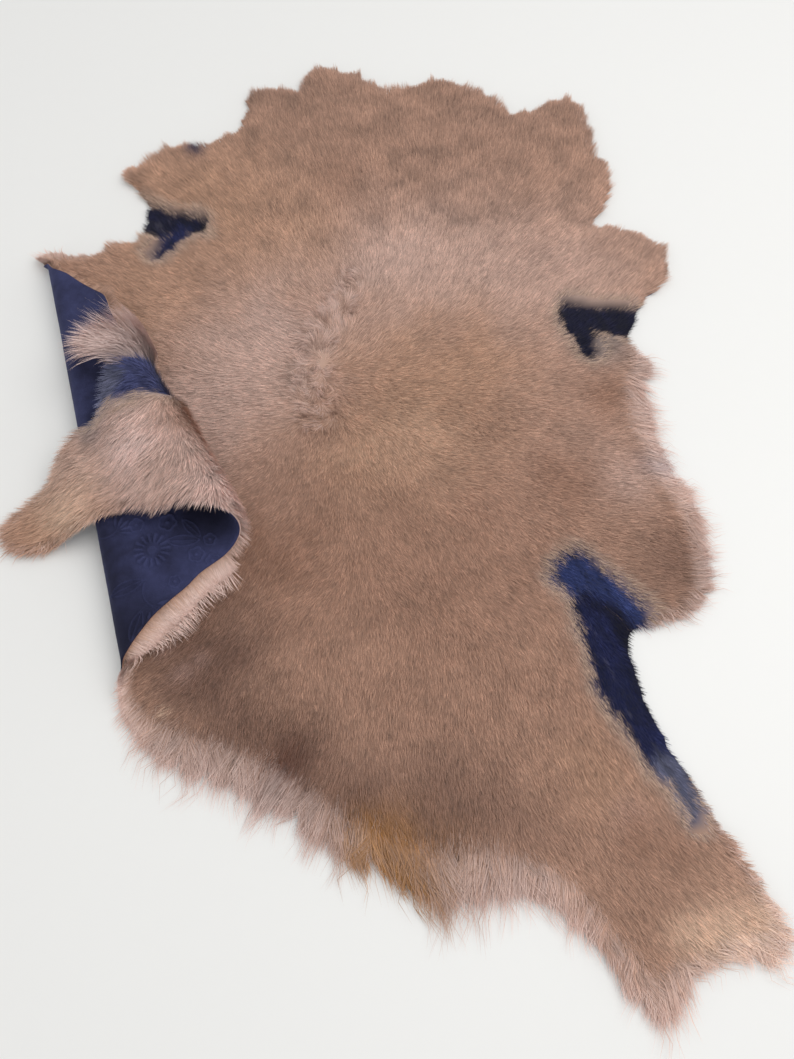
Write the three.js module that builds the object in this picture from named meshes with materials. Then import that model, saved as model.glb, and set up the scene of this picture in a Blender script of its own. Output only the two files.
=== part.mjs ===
// A whole dyed lamb hide, fur side up, with its left hind quarter folded in an S.
// The hide is one solid: a leather side, the slab of pile on it, and locks of hair at its rim.
// Its outline is laid out flat, as it was cut, and then bent over two folds.
// Millimetres. On the floor x runs across the hide, y from tail to neck, and z is up.

import * as THREE from "three";

const PILE_DEPTH = 13;        // leather side to pile top over the back
const RIM_DEPTH = 8;          // the same at the cut edge, where the pile thins out
const SPARSE_DEPTH = 4;       // the same in the armpits and groins
const UNEVEN = 1.1;           // how far the pile top swells and sinks
const SWELL_ACROSS = 31;      // how wide its swells are across the hide
const SWELL_ALONG = 38;       // how long they are along it
const SWELL_WANDER = 47;      // how soon their rows wander to one side and back
const SWELL_SLANT = 90;       // how gently their rows run aslant
const FLANK_RADIUS = 16.5;    // leather radius where the flank turns over, fur inside
const LEG_RADIUS = 17;        // leather radius where the leg turns back, fur outside
const FLANK_TOP_END = 5;      // where the flank fold begins to open at its neck end
const FLANK_LOWER_END = 466;  // where it begins to open at its tail end
const FLANK_END_DRIFT = 0.8;  // how fast it opens there
const LEG_CLEARANCE = 2;      // gap between the leg's leather and the flap under it
const LEG_SETTLES = 75;       // how far from its fold the leg comes down onto the flap
const LEG_STARTS_DOWN = -6;   // where the leg starts down to the floor, past the flank fold
const LEG_LANDS = -70;        // where it reaches the floor
const FLANK_FOLD_LENGTH = 500; // the flank fold's length, a little over the real one
const LEG_FOLD_LENGTH = 260;  // the leg fold's length, likewise
const RIM_STEP = 12;          // spacing of points along the cut edge
const GRID_STEP = 19.5;       // spacing of points inside
const GRID_LOOSE = 0.12;      // how far they stray from an even grid, as a share of the spacing
const FOLD_STEPS = 8;         // flat facets round each fold
const FOLD_ROW_STEP = 18;     // spacing of points along each fold
const FOLD_ROW_LOOSE = 0.05;  // how far they stray along it, as a share of the spacing
const FOLD_LEAD = 126;        // rows of points start this far before a fold's first end
const EDGE_MARGIN = 7.5;      // inside points keep this far from the cut edge
const SHORTEST_LOCK = 8;      // rim hair shorter than this stays part of the slab
const SPLAY_SHARE = 0.6;      // share of the rim hair's reach that is still part of the slab
const MOST_SPLAY = 12;        // how far the slab leans out past the leather at most
const LOCK_TIP_DEPTH = 3;     // how far a lock's tip stays on the fur side of the leather
const LOCK_LEAN = 0.45;       // how much a lock leans the way the hair lies
const SHORT_LOCK_SHARE = 0.72; // the shortest lock, as a share of the hair's reach there
const LONG_LOCK_SHARE = 1.22; // the longest
const HAIR_SPREADS = 336;     // this far from the spine the hair lies half outwards, half down
const CURVE_DIVISIONS = 2000; // short lines that measure the cut edge's length
const FAR_AWAY = 1e5;         // corners of the triangle that the triangulation starts from

// The cut edge of the body, clockwise from the left belly, with how far its hair reaches out.
const BODY_RIM = [
  // x, y, hair
  [-365, 616, 11],
  [-337, 622, 8],
  [-309, 634, 6],
  [-288, 648, 3],
  [-286, 680, 3],
  [-288, 702, 3],
  [-306, 730, 6],
  [-316, 744, 9],
  [-296, 757, 6],
  [-268, 780, 4],
  [-237, 781, 3],
  [-196, 803, 4],
  [-183, 834, 4],
  [-183, 868, 6],
  [-161, 879, 6],
  [-120, 871, 6],
  [-111, 905, 7],
  [-82, 912, 6],
  [-46, 899, 6],
  [-14, 876, 6],
  [16, 881, 6],
  [50, 893, 6],
  [86, 878, 8],
  [115, 862, 6],
  [128, 841, 4],
  [158, 835, 3],
  [188, 854, 6],
  [222, 848, 7],
  [232, 822, 7],
  [228, 770, 5],
  [242, 753, 5],
  [250, 725, 6],
  [236, 695, 5],
  [228, 660, 4],
  [261, 655, 6],
  [292, 633, 5],
  [297, 593, 6],
  [270, 563, 4],
  [257, 537, 3],
  [246, 503, 6],
  [253, 480, 18],
  [240, 444, 22],
  [243, 410, 22],
  [261, 347, 20],
  [276, 315, 22],
  [284, 278, 18],
  [277, 224, 19],
  [264, 208, 15],
  [239, 197, 10],
  [213, 187, 4],
  [215, 147, 3],
  [232, 95, 3],
  [251, 60, 5],
  [271, 18, 8],
  [288, -13, 10],
  [302, -45, 14],
  [295, -65, 28],
  [271, -70, 20],
  [242, -78, 15],
  [221, -87, 20],
  [203, -99, 34],
  [181, -85, 24],
  [163, -62, 20],
  [141, -37, 20],
  [110, -14, 26],
  [69, -5, 34],
  [27, -7, 36],
  [-10, 0, 34],
  [-40, 17, 28],
  [-67, 36, 28],
  [-90, 51, 30],
  [-117, 65, 28],
  [-160, 84, 28],
  [-192, 92, 28],
  [-218, 104, 18],
  [-233, 118, 15],
  [-242, 134, 13],
];

// The flap's lower cut edge, from the flank fold to the leg fold.
const FLAP_LOWER_RIM = [
  // along the flank fold, across it, hair
  [476, 20, 14],
  [466, 31, 12],
  [459, 44, 16],
  [446, 59, 20],
  [434, 74, 22],
  [425, 90, 22],
  [416, 108, 20],
  [407, 122, 20],
];

// The leg's cut edge, from the lower end of the leg fold round the tip to its upper end.
const LEG_RIM = [
  // along the leg fold, across it, hair
  [221, -7, 20],
  [214, 10, 20],
  [206, 26, 20],
  [192, 42, 14],
  [178, 56, 9],
  [166, 70, 6],
  [157, 88, 6],
  [142, 102, 6],
  [133, 116, 6],
  [129, 136, 7],
  [128, 156, 8],
  [122, 176, 10],
  [118, 200, 11],
  [112, 220, 13],
  [97, 233, 15],
  [80, 232, 13],
  [71, 218, 10],
  [65, 196, 7],
  [57, 172, 6],
  [45, 150, 4],
  [39, 128, 4],
  [35, 102, 4],
  [18, 88, 4],
  [4, 74, 5],
  [-6, 62, 14],
  [-6, 50, 50],
  [-2, 38, 62],
  [3, 26, 64],
  [-8, 16, 56],
  [-30, 11, 30],
  [-58, 9, 12],
  [-82, 9, 8],
];

// The flap's upper cut edge, from the leg fold back to the flank fold.
const FLAP_UPPER_RIM = [
  // along the flank fold, across it, hair
  [76, 91, 8],
  [64, 82, 5],
  [49, 69, 5],
  [33, 57, 4],
  [22, 45, 4],
  [10, 36, 5],
  [-2, 29, 10],
  [-13, 23, 16],
  [-18, 10, 14],
];

// Stretches where the fur is so sparse that the hide shows, each with how wide it is.
const SPARSE_STRETCHES = [
  // x and y of one end, x and y of the other, half width
  [-294, 682, -226, 653, 26],
  [-238, 648, -266, 616, 20],
  [186, 541, 270, 533, 26],
  [184, 540, 190, 502, 20],
  [160, 246, 188, 192, 30],
  [165, 250, 214, 195, 28],
  [188, 192, 206, 130, 32],
  [206, 130, 233, 66, 30],
  [233, 66, 252, 30, 20],
  [-446, 354, -500, 374, 34],
  [-500, 374, -526, 348, 28],
];

// Where the fur is rumpled along the shoulder, it stands up in a low ridge.
const RUMPLE_STRETCHES = [
  // x and y of one end, x and y of the other, half width
  [-46, 585, -77, 518, 20],
  [-77, 518, -92, 405, 24],
];
const RUMPLE_HEIGHT = 3;

// A fold is a straight line. Past it the hide bends through half a turn and comes back.
// side is +1 where the hide crosses the line to the left of its run, and -1 to the right.
function foldLine(start, end, radius, side) {
  const run = end.clone().sub(start).normalize();
  const past = new THREE.Vector2(-run.y, run.x).multiplyScalar(side);
  return { start, run, past, radius, arc: Math.PI * radius };
}

// Beyond the two ends of the flank fold the hide lies flat again, so the fold drifts outwards.
function flankDrift(along) {
  return FLANK_END_DRIFT * Math.max(FLANK_TOP_END - along, along - FLANK_LOWER_END, 0);
}

function alongAndAcross(fold, point) {
  const offset = point.clone().sub(fold.start);
  return [offset.dot(fold.run), offset.dot(fold.past)];
}

function pointFrom(fold, along, across) {
  return fold.start.clone().addScaledVector(fold.run, along).addScaledVector(fold.past, across);
}

const FLANK_FOLD = foldLine(
  new THREE.Vector2(-368, 603), new THREE.Vector2(-234, 174), FLANK_RADIUS, -1);

// The leg fold runs over the flap, so its ends are given along and across the flank fold.
const LEG_FOLD = foldLine(
  pointFrom(FLANK_FOLD, 180, -52), pointFrom(FLANK_FOLD, 400, -103), LEG_RADIUS, 1);

// Where a point of the leg was before the leg and the flank were folded.
function legToFlat(along, across) {
  const [flankAlong, flankAcross] = alongAndAcross(FLANK_FOLD, pointFrom(LEG_FOLD, along, across));
  return pointFrom(FLANK_FOLD, flankAlong, FLANK_FOLD.arc - flankAcross);
}

function smoothStep(value) {
  const t = THREE.MathUtils.clamp(value, 0, 1);
  return t * t * (3 - 2 * t);
}

// The leg's leather comes down from its fold onto the flap, and past the flank fold to the floor.
function legHeight(fromLegFold, insideFlankFold) {
  const overFlap = 2 * FLANK_FOLD.radius + LEG_CLEARANCE;
  const atFold = 2 * FLANK_FOLD.radius + 2 * LEG_FOLD.radius - overFlap;
  const onFlap = smoothStep((insideFlankFold - LEG_LANDS) / (LEG_STARTS_DOWN - LEG_LANDS));
  return overFlap * onFlap + atFold * smoothStep(1 - fromLegFold / LEG_SETTLES);
}

// Where a point of the flat leather side lies once the hide is folded.
function folded(flat) {
  const [along, acrossLine] = alongAndAcross(FLANK_FOLD, flat);
  const drift = flankDrift(along);
  const across = acrossLine - drift;
  if (across <= 0) return new THREE.Vector3(flat.x, flat.y, 0);
  if (across < FLANK_FOLD.arc) {
    const turn = across / FLANK_FOLD.radius;
    const spot = pointFrom(FLANK_FOLD, along, drift + FLANK_FOLD.radius * Math.sin(turn));
    return new THREE.Vector3(spot.x, spot.y, FLANK_FOLD.radius * (1 - Math.cos(turn)));
  }
  const onFlap = pointFrom(FLANK_FOLD, along, drift + FLANK_FOLD.arc - across);
  const flapHeight = 2 * FLANK_FOLD.radius;
  const [legAlong, legAcross] = alongAndAcross(LEG_FOLD, onFlap);
  if (legAcross <= 0) return new THREE.Vector3(onFlap.x, onFlap.y, flapHeight);
  if (legAcross < LEG_FOLD.arc) {
    const turn = legAcross / LEG_FOLD.radius;
    const spot = pointFrom(LEG_FOLD, legAlong, LEG_FOLD.radius * Math.sin(turn));
    return new THREE.Vector3(spot.x, spot.y, flapHeight + LEG_FOLD.radius * (1 - Math.cos(turn)));
  }
  const reach = legAcross - LEG_FOLD.arc;
  const spot = pointFrom(LEG_FOLD, legAlong, -reach);
  const insideFlankFold = -alongAndAcross(FLANK_FOLD, spot)[1];
  return new THREE.Vector3(spot.x, spot.y, legHeight(reach, insideFlankFold));
}

// How the folded leather runs at a point: its two edges of a small square, and the fur side.
function foldedFrame(flat) {
  const step = 0.5;
  const right = folded(new THREE.Vector2(flat.x + step, flat.y));
  const left = folded(new THREE.Vector2(flat.x - step, flat.y));
  const up = folded(new THREE.Vector2(flat.x, flat.y + step));
  const down = folded(new THREE.Vector2(flat.x, flat.y - step));
  const acrossHide = right.sub(left).divideScalar(2 * step);
  const alongHide = up.sub(down).divideScalar(2 * step);
  const furSide = acrossHide.clone().cross(alongHide).normalize();
  return { acrossHide, alongHide, furSide };
}

// 1 on the middle line of a stretch, falling to 0 at its half width.
function nearStretch(flat, [x0, y0, x1, y1, halfWidth]) {
  const line = new THREE.Line3(new THREE.Vector3(x0, y0, 0), new THREE.Vector3(x1, y1, 0));
  const spot = new THREE.Vector3(flat.x, flat.y, 0);
  const nearest = line.closestPointToPoint(spot, true, new THREE.Vector3());
  return smoothStep(1 - nearest.distanceTo(spot) / halfWidth);
}

function strongest(flat, stretches) {
  return Math.max(...stretches.map((stretch) => nearStretch(flat, stretch)));
}

function pileDepth(flat, atRim) {
  const wander = Math.sin(flat.y / SWELL_WANDER);
  const swellAcross = Math.sin(flat.x / SWELL_ACROSS + wander);
  const swellAlong = Math.cos(flat.y / SWELL_ALONG + flat.x / SWELL_SLANT);
  const swell = swellAcross * swellAlong;
  const full = atRim ? RIM_DEPTH : PILE_DEPTH + UNEVEN * swell;
  const ridge = atRim ? 0 : RUMPLE_HEIGHT * strongest(flat, RUMPLE_STRETCHES);
  return THREE.MathUtils.lerp(full + ridge, SPARSE_DEPTH, strongest(flat, SPARSE_STRETCHES));
}

// The whole cut edge, flat, as rows of x, y and hair length.
function rimRows() {
  const flapRow = ([along, across, hair]) => {
    const flat = pointFrom(FLANK_FOLD, along, across);
    return [flat.x, flat.y, hair];
  };
  const legRow = ([along, across, hair]) => {
    const flat = legToFlat(along, across);
    return [flat.x, flat.y, hair];
  };
  return [
    ...BODY_RIM,
    ...FLAP_LOWER_RIM.map(flapRow),
    ...LEG_RIM.map(legRow),
    ...FLAP_UPPER_RIM.map(flapRow),
  ];
}

// Evenly spaced points on a smooth curve through the rows, which carries the hair length as z.
function rimPoints() {
  const knots = rimRows().map(([x, y, hair]) => new THREE.Vector3(x, y, hair));
  const curve = new THREE.CatmullRomCurve3(knots, true, "centripetal");
  curve.arcLengthDivisions = CURVE_DIVISIONS;
  const count = Math.round(curve.getLength() / RIM_STEP);
  const spaced = curve.getSpacedPoints(count).slice(0, count);
  return spaced.map((point, index) => {
    const before = spaced[(index + count - 1) % count];
    const after = spaced[(index + 1) % count];
    const tangent = new THREE.Vector2(after.x - before.x, after.y - before.y).normalize();
    return {
      flat: new THREE.Vector2(point.x, point.y),
      outward: new THREE.Vector2(-tangent.y, tangent.x),
      hair: Math.max(point.z, 0),
      onRim: true,
    };
  });
}

function insideRim(point, rim) {
  let inside = false;
  for (let i = 0, j = rim.length - 1; i < rim.length; j = i, i += 1) {
    const a = rim[i].flat;
    const b = rim[j].flat;
    const crosses = (a.y > point.y) !== (b.y > point.y);
    if (crosses && point.x < ((b.x - a.x) * (point.y - a.y)) / (b.y - a.y) + a.x) inside = !inside;
  }
  return inside;
}

function wellInside(point, rim) {
  return insideRim(point, rim) && rim.every((spot) => spot.flat.distanceTo(point) > EDGE_MARGIN);
}

// A repeatable number from 0 to 1 for each whole number.
function scatter(index) {
  return THREE.MathUtils.seededRandom(index + 1);
}

// How far a flat point is past the start of a fold, or null where that fold isn't reached.
function pastLegFold(flat) {
  const [along, across] = alongAndAcross(FLANK_FOLD, flat);
  if (across < FLANK_FOLD.arc) return null;
  return alongAndAcross(LEG_FOLD, pointFrom(FLANK_FOLD, along, FLANK_FOLD.arc - across))[1];
}

function inFoldBand(past, fold) {
  const margin = fold.arc / FOLD_STEPS;
  return past !== null && past > -margin && past < fold.arc + margin;
}

// Rows of points along a fold, so that its bend is even. They are a little loose along it.
function foldRows(fold, length, toFlat) {
  const points = [];
  for (let row = 0; row <= FOLD_STEPS; row += 1) {
    for (let place = -FOLD_LEAD; place < length; place += FOLD_ROW_STEP) {
      const loose = FOLD_ROW_LOOSE * FOLD_ROW_STEP * scatter(points.length);
      points.push(toFlat(place + loose, (row * fold.arc) / FOLD_STEPS));
    }
  }
  return points;
}

function insidePoints(rim) {
  const flankToFlat = (along, across) => pointFrom(FLANK_FOLD, along, across);
  const points = foldRows(FLANK_FOLD, FLANK_FOLD_LENGTH, flankToFlat);
  points.push(...foldRows(LEG_FOLD, LEG_FOLD_LENGTH, legToFlat));
  const box = new THREE.Box2().setFromPoints(rim.map((spot) => spot.flat));
  const rowStep = (GRID_STEP * Math.sqrt(3)) / 2;
  const loose = GRID_STEP * GRID_LOOSE;
  for (let row = 0; box.min.y + row * rowStep < box.max.y; row += 1) {
    for (let place = 0; box.min.x + place * GRID_STEP < box.max.x; place += 1) {
      const strayX = loose * (scatter(2 * points.length) - 0.5);
      const strayY = loose * (scatter(2 * points.length + 1) - 0.5);
      const x = box.min.x + (place + (row % 2) / 2) * GRID_STEP + strayX;
      const y = box.min.y + row * rowStep + strayY;
      const flat = new THREE.Vector2(x, y);
      const pastFlank = alongAndAcross(FLANK_FOLD, flat)[1];
      if (inFoldBand(pastFlank, FLANK_FOLD)) continue;
      if (inFoldBand(pastLegFold(flat), LEG_FOLD)) continue;
      points.push(flat);
    }
  }
  const kept = points.filter((point) => wellInside(point, rim));
  return kept.map((flat) => ({ flat, onRim: false }));
}

function circleThrough(a, b, c) {
  const bx = b.x - a.x;
  const by = b.y - a.y;
  const cx = c.x - a.x;
  const cy = c.y - a.y;
  const twiceArea = 2 * (bx * cy - by * cx);
  const b2 = bx * bx + by * by;
  const c2 = cx * cx + cy * cy;
  const x = (cy * b2 - by * c2) / twiceArea;
  const y = (bx * c2 - cx * b2) / twiceArea;
  return { x: a.x + x, y: a.y + y, radiusSquared: x * x + y * y };
}

// Delaunay triangles of a set of points, by adding them one at a time.
function triangulate(points) {
  const all = [
    ...points,
    new THREE.Vector2(-FAR_AWAY, -FAR_AWAY),
    new THREE.Vector2(FAR_AWAY, -FAR_AWAY),
    new THREE.Vector2(0, FAR_AWAY),
  ];
  const makeTriangle = (i, j, k) => ({
    corners: [i, j, k], circle: circleThrough(all[i], all[j], all[k]) });
  let triangles = [makeTriangle(points.length, points.length + 1, points.length + 2)];
  points.forEach((point, index) => {
    const border = new Map();
    const kept = [];
    for (const triangle of triangles) {
      const { circle, corners } = triangle;
      const reach = (point.x - circle.x) ** 2 + (point.y - circle.y) ** 2;
      if (reach >= circle.radiusSquared) {
        kept.push(triangle);
        continue;
      }
      corners.forEach((corner, side) => {
        const next = corners[(side + 1) % 3];
        if (!border.delete(`${next} ${corner}`)) border.set(`${corner} ${next}`, [corner, next]);
      });
    }
    for (const [from, to] of border.values()) kept.push(makeTriangle(from, to, index));
    triangles = kept;
  });
  const real = triangles.filter(({ corners }) => corners.every((corner) => corner < points.length));
  return real.map(({ corners }) => corners);
}

function flatTriangles(spots, rim) {
  const points = spots.map((spot) => spot.flat);
  return triangulate(points).filter(([i, j, k]) => {
    const centre = points[i].clone().add(points[j]).add(points[k]).divideScalar(3);
    return insideRim(centre, rim);
  });
}

// Edges that only one triangle has, each run the way that its triangle runs.
function openEdges(triangles) {
  const edges = new Map();
  for (const corners of triangles) {
    corners.forEach((corner, side) => {
      const next = corners[(side + 1) % 3];
      if (!edges.delete(`${next} ${corner}`)) edges.set(`${corner} ${next}`, [corner, next]);
    });
  }
  return [...edges.values()];
}

// Hair lies from the neck down to the tail, and outwards on the flanks.
function hairFlow(flat) {
  return new THREE.Vector2(flat.x / HAIR_SPREADS, -1).normalize();
}

// The pile leans out past the leather at the rim, and further where its hair is longer.
function furPoint(spot) {
  const splay = spot.onRim ? Math.min(spot.hair * SPLAY_SHARE, MOST_SPLAY) : 0;
  const { acrossHide, alongHide, furSide } = foldedFrame(spot.flat);
  const point = folded(spot.flat).addScaledVector(furSide, pileDepth(spot.flat, spot.onRim));
  if (splay === 0) return point;
  point.addScaledVector(acrossHide, spot.outward.x * splay);
  return point.addScaledVector(alongHide, spot.outward.y * splay);
}

// The tip of the lock that grows from the rim between two spots. It follows the hide's folds.
function lockTip(first, second, index) {
  const flat = first.flat.clone().add(second.flat).divideScalar(2);
  const share = THREE.MathUtils.lerp(SHORT_LOCK_SHARE, LONG_LOCK_SHARE, scatter(index));
  const length = ((first.hair + second.hair) / 2) * share;
  const heading = first.outward.clone().add(second.outward).normalize();
  heading.addScaledVector(hairFlow(flat), LOCK_LEAN).normalize();
  const reached = flat.addScaledVector(heading, length);
  return folded(reached).addScaledVector(foldedFrame(reached).furSide, LOCK_TIP_DEPTH);
}

function sheepskinGeometry() {
  const rim = rimPoints();
  const spots = [...rim, ...insidePoints(rim)];
  const triangles = flatTriangles(spots, rim);
  const leather = spots.map((spot) => folded(spot.flat));
  const furTop = spots.map(furPoint);
  const positions = [...leather, ...furTop];
  const faces = [];
  for (const [i, j, k] of triangles) {
    faces.push([i, k, j]);
    faces.push([i + spots.length, j + spots.length, k + spots.length]);
  }
  openEdges(triangles).forEach(([from, to], index) => {
    const corners = [from, to, to + spots.length, from + spots.length];
    const hair = Math.min(spots[from].hair, spots[to].hair);
    if (hair < SHORTEST_LOCK) {
      faces.push([corners[0], corners[1], corners[2]]);
      faces.push([corners[0], corners[2], corners[3]]);
      return;
    }
    positions.push(lockTip(spots[from], spots[to], index));
    const tip = positions.length - 1;
    corners.forEach((corner, side) => faces.push([corner, corners[(side + 1) % 4], tip]));
  });
  const geometry = new THREE.BufferGeometry();
  const numbers = positions.flatMap((point) => [point.x, point.y, point.z]);
  geometry.setAttribute("position", new THREE.Float32BufferAttribute(numbers, 3));
  geometry.setIndex(faces.flat());
  return geometry;
}

// Puts the middle of the underside at the origin.
function centreOnFloor(geometry) {
  geometry.computeBoundingBox();
  const middle = geometry.boundingBox.getCenter(new THREE.Vector3());
  geometry.translate(-middle.x, -middle.y, 0);
  return geometry;
}

const furMaterial = new THREE.MeshStandardMaterial({
  color: 0xa58776, roughness: 0.95, metalness: 0 });
const sheepskin = new THREE.Mesh(centreOnFloor(sheepskinGeometry()), furMaterial);
sheepskin.name = "sheepskin";

const group = new THREE.Group();
group.add(sheepskin);

export default group;
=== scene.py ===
# A whole dyed lamb hide, fur side up, with its left hind quarter folded in an S.
# Its outline is laid out flat, as it was cut, and then bent over two folds.
# Metres. In the tables x runs across the flat hide and y from tail to neck; z is up.

import math

import bpy
import numpy as np
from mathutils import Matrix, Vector
from mathutils.geometry import delaunay_2d_cdt
from mathutils.kdtree import KDTree


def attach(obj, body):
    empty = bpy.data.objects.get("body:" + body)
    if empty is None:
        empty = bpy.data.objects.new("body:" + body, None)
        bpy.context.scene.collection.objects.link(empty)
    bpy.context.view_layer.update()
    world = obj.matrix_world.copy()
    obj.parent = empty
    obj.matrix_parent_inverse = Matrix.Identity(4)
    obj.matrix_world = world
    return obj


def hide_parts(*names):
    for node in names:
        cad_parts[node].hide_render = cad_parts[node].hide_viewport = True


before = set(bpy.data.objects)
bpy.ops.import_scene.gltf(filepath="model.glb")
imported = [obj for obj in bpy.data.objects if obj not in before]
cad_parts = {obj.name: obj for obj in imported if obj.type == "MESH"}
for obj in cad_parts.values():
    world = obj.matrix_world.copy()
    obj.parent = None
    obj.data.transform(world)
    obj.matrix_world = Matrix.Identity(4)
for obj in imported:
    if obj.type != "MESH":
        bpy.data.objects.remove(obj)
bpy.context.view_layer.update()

# Where the middle of the object's box lies in the tables' coordinates.
HIDE_MIDDLE = (-0.04315, 0.39167)

# The camera stands over the tail end and looks down on the hide.
CAMERA_PLACE = (0.0431, -0.3917, 0.720)
CAMERA_TILT = math.radians(22.0)
CAMERA_LENS = 27.09

# The folds.
FLANK_RADIUS = 0.0165        # leather radius where the flank turns over, fur inside
LEG_RADIUS = 0.017           # leather radius where the leg turns back, fur outside
FLANK_TOP_END = 0.005        # where the flank fold begins to open at its neck end
FLANK_LOWER_END = 0.466      # where it begins to open at its tail end
FLANK_END_DRIFT = 0.8        # how fast it opens there
LEG_CLEARANCE = 0.002        # gap between the leg's leather and the flap under it
LEG_SETTLES = 0.075          # how far from its fold the leg comes down onto the flap
LEG_STARTS_DOWN = -0.006     # where the leg starts down to the floor, past the flank fold
LEG_LANDS = -0.070           # where it reaches the floor

# The hide itself.
LEATHER_THICK = 0.0012       # the cut edge of the leather
WOOL_DEPTH = 0.0085          # leather side to the top of the dense wool under the hair
WOOL_RIM_DEPTH = 0.0026      # the same at the cut edge
WOOL_SPARSE_DEPTH = 0.0020   # the same in the armpits and groins
WOOL_RIM_WIDTH = 0.014       # how far in from the cut edge the wool reaches its depth
RUMPLE_HEIGHT = 0.003        # how far the wool stands up along the shoulder
UNEVEN = 0.0009              # how far the wool's top swells and sinks
BODY_STEP = 0.0070           # spacing of points over the body
FOLDED_STEP = 0.0031         # the same over the folds and past them
STAMPED_STEP = 0.0011        # the same where the leather is embossed
RIM_STEP = 0.0032            # the same along the cut edge
RIM_RAGGED = 0.0045          # how far the cut edge strays from its smooth line
KNOT_DIVISIONS = 24          # points of the smooth outline between two rows of its tables

# The short hair.
PILE_PIECES = ("pile_first", "pile_second", "pile_third")
BLADES_EACH = 190_000        # hairs in each of the pieces
PILE_LENGTH = 0.0100
PILE_LENGTHS = (0.7, 1.2)    # the shortest and the longest hair against it
PILE_LEAN = math.radians(24)  # the hair's angle above the hide
PILE_WAY_SPREAD = 0.13       # how far hairs stray from their way, in radians
PILE_LEAN_SPREAD = 0.06      # how far they stray from their lean
PILE_ROOTED = 0.85           # how high in the wool a hair begins, as a share of its depth
BLADE_WIDTH = 0.00066
BLADE_WIDTHS = (0.8, 1.25)   # the slimmest and the widest hair against it
# Painted shade: the wool under the hair is painted darker than the hair.
WOOL_PAINTED_SHADE = 0.74            # how dark the wool under the hair is
# Painted shade: each short hair is painted darker at its root, deep in the pile.
PILE_ROOT_SHADE = 0.74             # how dark a hair is at its root, against its middle
PILE_CLUMP = 0.0040          # size of the clumps that the short hair leans into
RUMPLE_LOCK = 0.012          # size of the tousled locks along the shoulder
RIM_TUFTS = 0.012            # how far in from the cut edge its short hair is uneven
STREAK_TURN = -0.44          # the dyed patches' streaks against the tables' x, in radians
BORDER_HAIR_SHARE = 0.45     # share of the hairs along a dyed patch that are pale
HIDDEN_SHARE = 0.25          # how densely the hair grows where the flap hides it
HAIR_OFF_FLOOR = 0.0004      # the lowest that a hair comes

# The long hair.
LONG_HAIRS = 38_000
LONG_WIDTHS = (0.00040, 0.0007)  # the slimmest and the widest hair
LONG_BAND = (0.004, 0.042)   # the narrowest and the widest band along the rim
FLAP_BAND = 0.014            # its widest past the flank fold
LOCK_CELL = 0.0125           # size of the locks that the long hair gathers in
STRAND_CELL = 0.0045         # size of the strands in them
WISP_SHARE = 0.06            # share of the long hairs that stray far out
WISP_LENGTH = 1.7            # how far they reach, against the others
TUFT_LENGTH = 0.070          # the leg's tuft
TUFT_GATHER = 0.72           # how far its hairs draw together at their tips
TUFT_DENSITY = 1.7           # how densely it grows, against the body's rim
GOLDEN_SPOT = (-0.010, -0.010)  # the middle of the golden hair at the tail
GOLDEN_REACH = 0.050

# A short hair is one triangle. A long one has a pair of points at each share of its length
# but the last, and one at its tip. The shapes are their corners in the map's small cells.
BLADE_FACES = np.array([[0, 1, 2]])
BLADE_SHAPE = np.array([[0.85, 0.15], [0.15, 0.15], [0.5, 0.9]])
LONG_SHARES = np.array([0.0, 0.35, 0.70, 1.0])
LONG_TAPER = (1.0, 0.9, 0.6)  # its width at each pair of points
LONG_FACES = np.array([[0, 1, 2], [2, 1, 3], [2, 3, 4], [4, 3, 5], [4, 5, 6]])
LONG_SHAPE = np.array([
    [0.2, 0.1], [0.8, 0.1], [0.2, 0.4], [0.8, 0.4], [0.25, 0.7], [0.75, 0.7], [0.5, 0.95]])
HAIR_SEED = 2027

# Where each part of the hide lies in its map: its corner and its size in the unit square.
MAP_CHARTS = [
    ((0.01, 0.01), (0.44, 0.48)),  # the wool
    ((0.01, 0.51), (0.44, 0.48)),  # the body's leather
    ((0.47, 0.02), (0.52, 0.96)),  # the flap's leather
]
WOOL_CHART, BODY_CHART, FLAP_CHART = range(3)

# The room: an even white light from all sides and a window's soft light from the right.
WORLD_COLOUR = (0.985, 0.985, 0.98)
WORLD_STRENGTH = 0.755
WINDOW_PLACE = (1.1, 0.1, 1.9)
WINDOW_TARGET = (0.0, -0.1, 0.0)
WINDOW_SIZE = 1.8
WINDOW_POWER = 19.0
WINDOW_COLOUR = (1.0, 0.99, 0.97)
FLOOR_HALF = 4.0
FLOOR_DROP = 0.0003          # how far below the hide the floor lies

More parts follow.
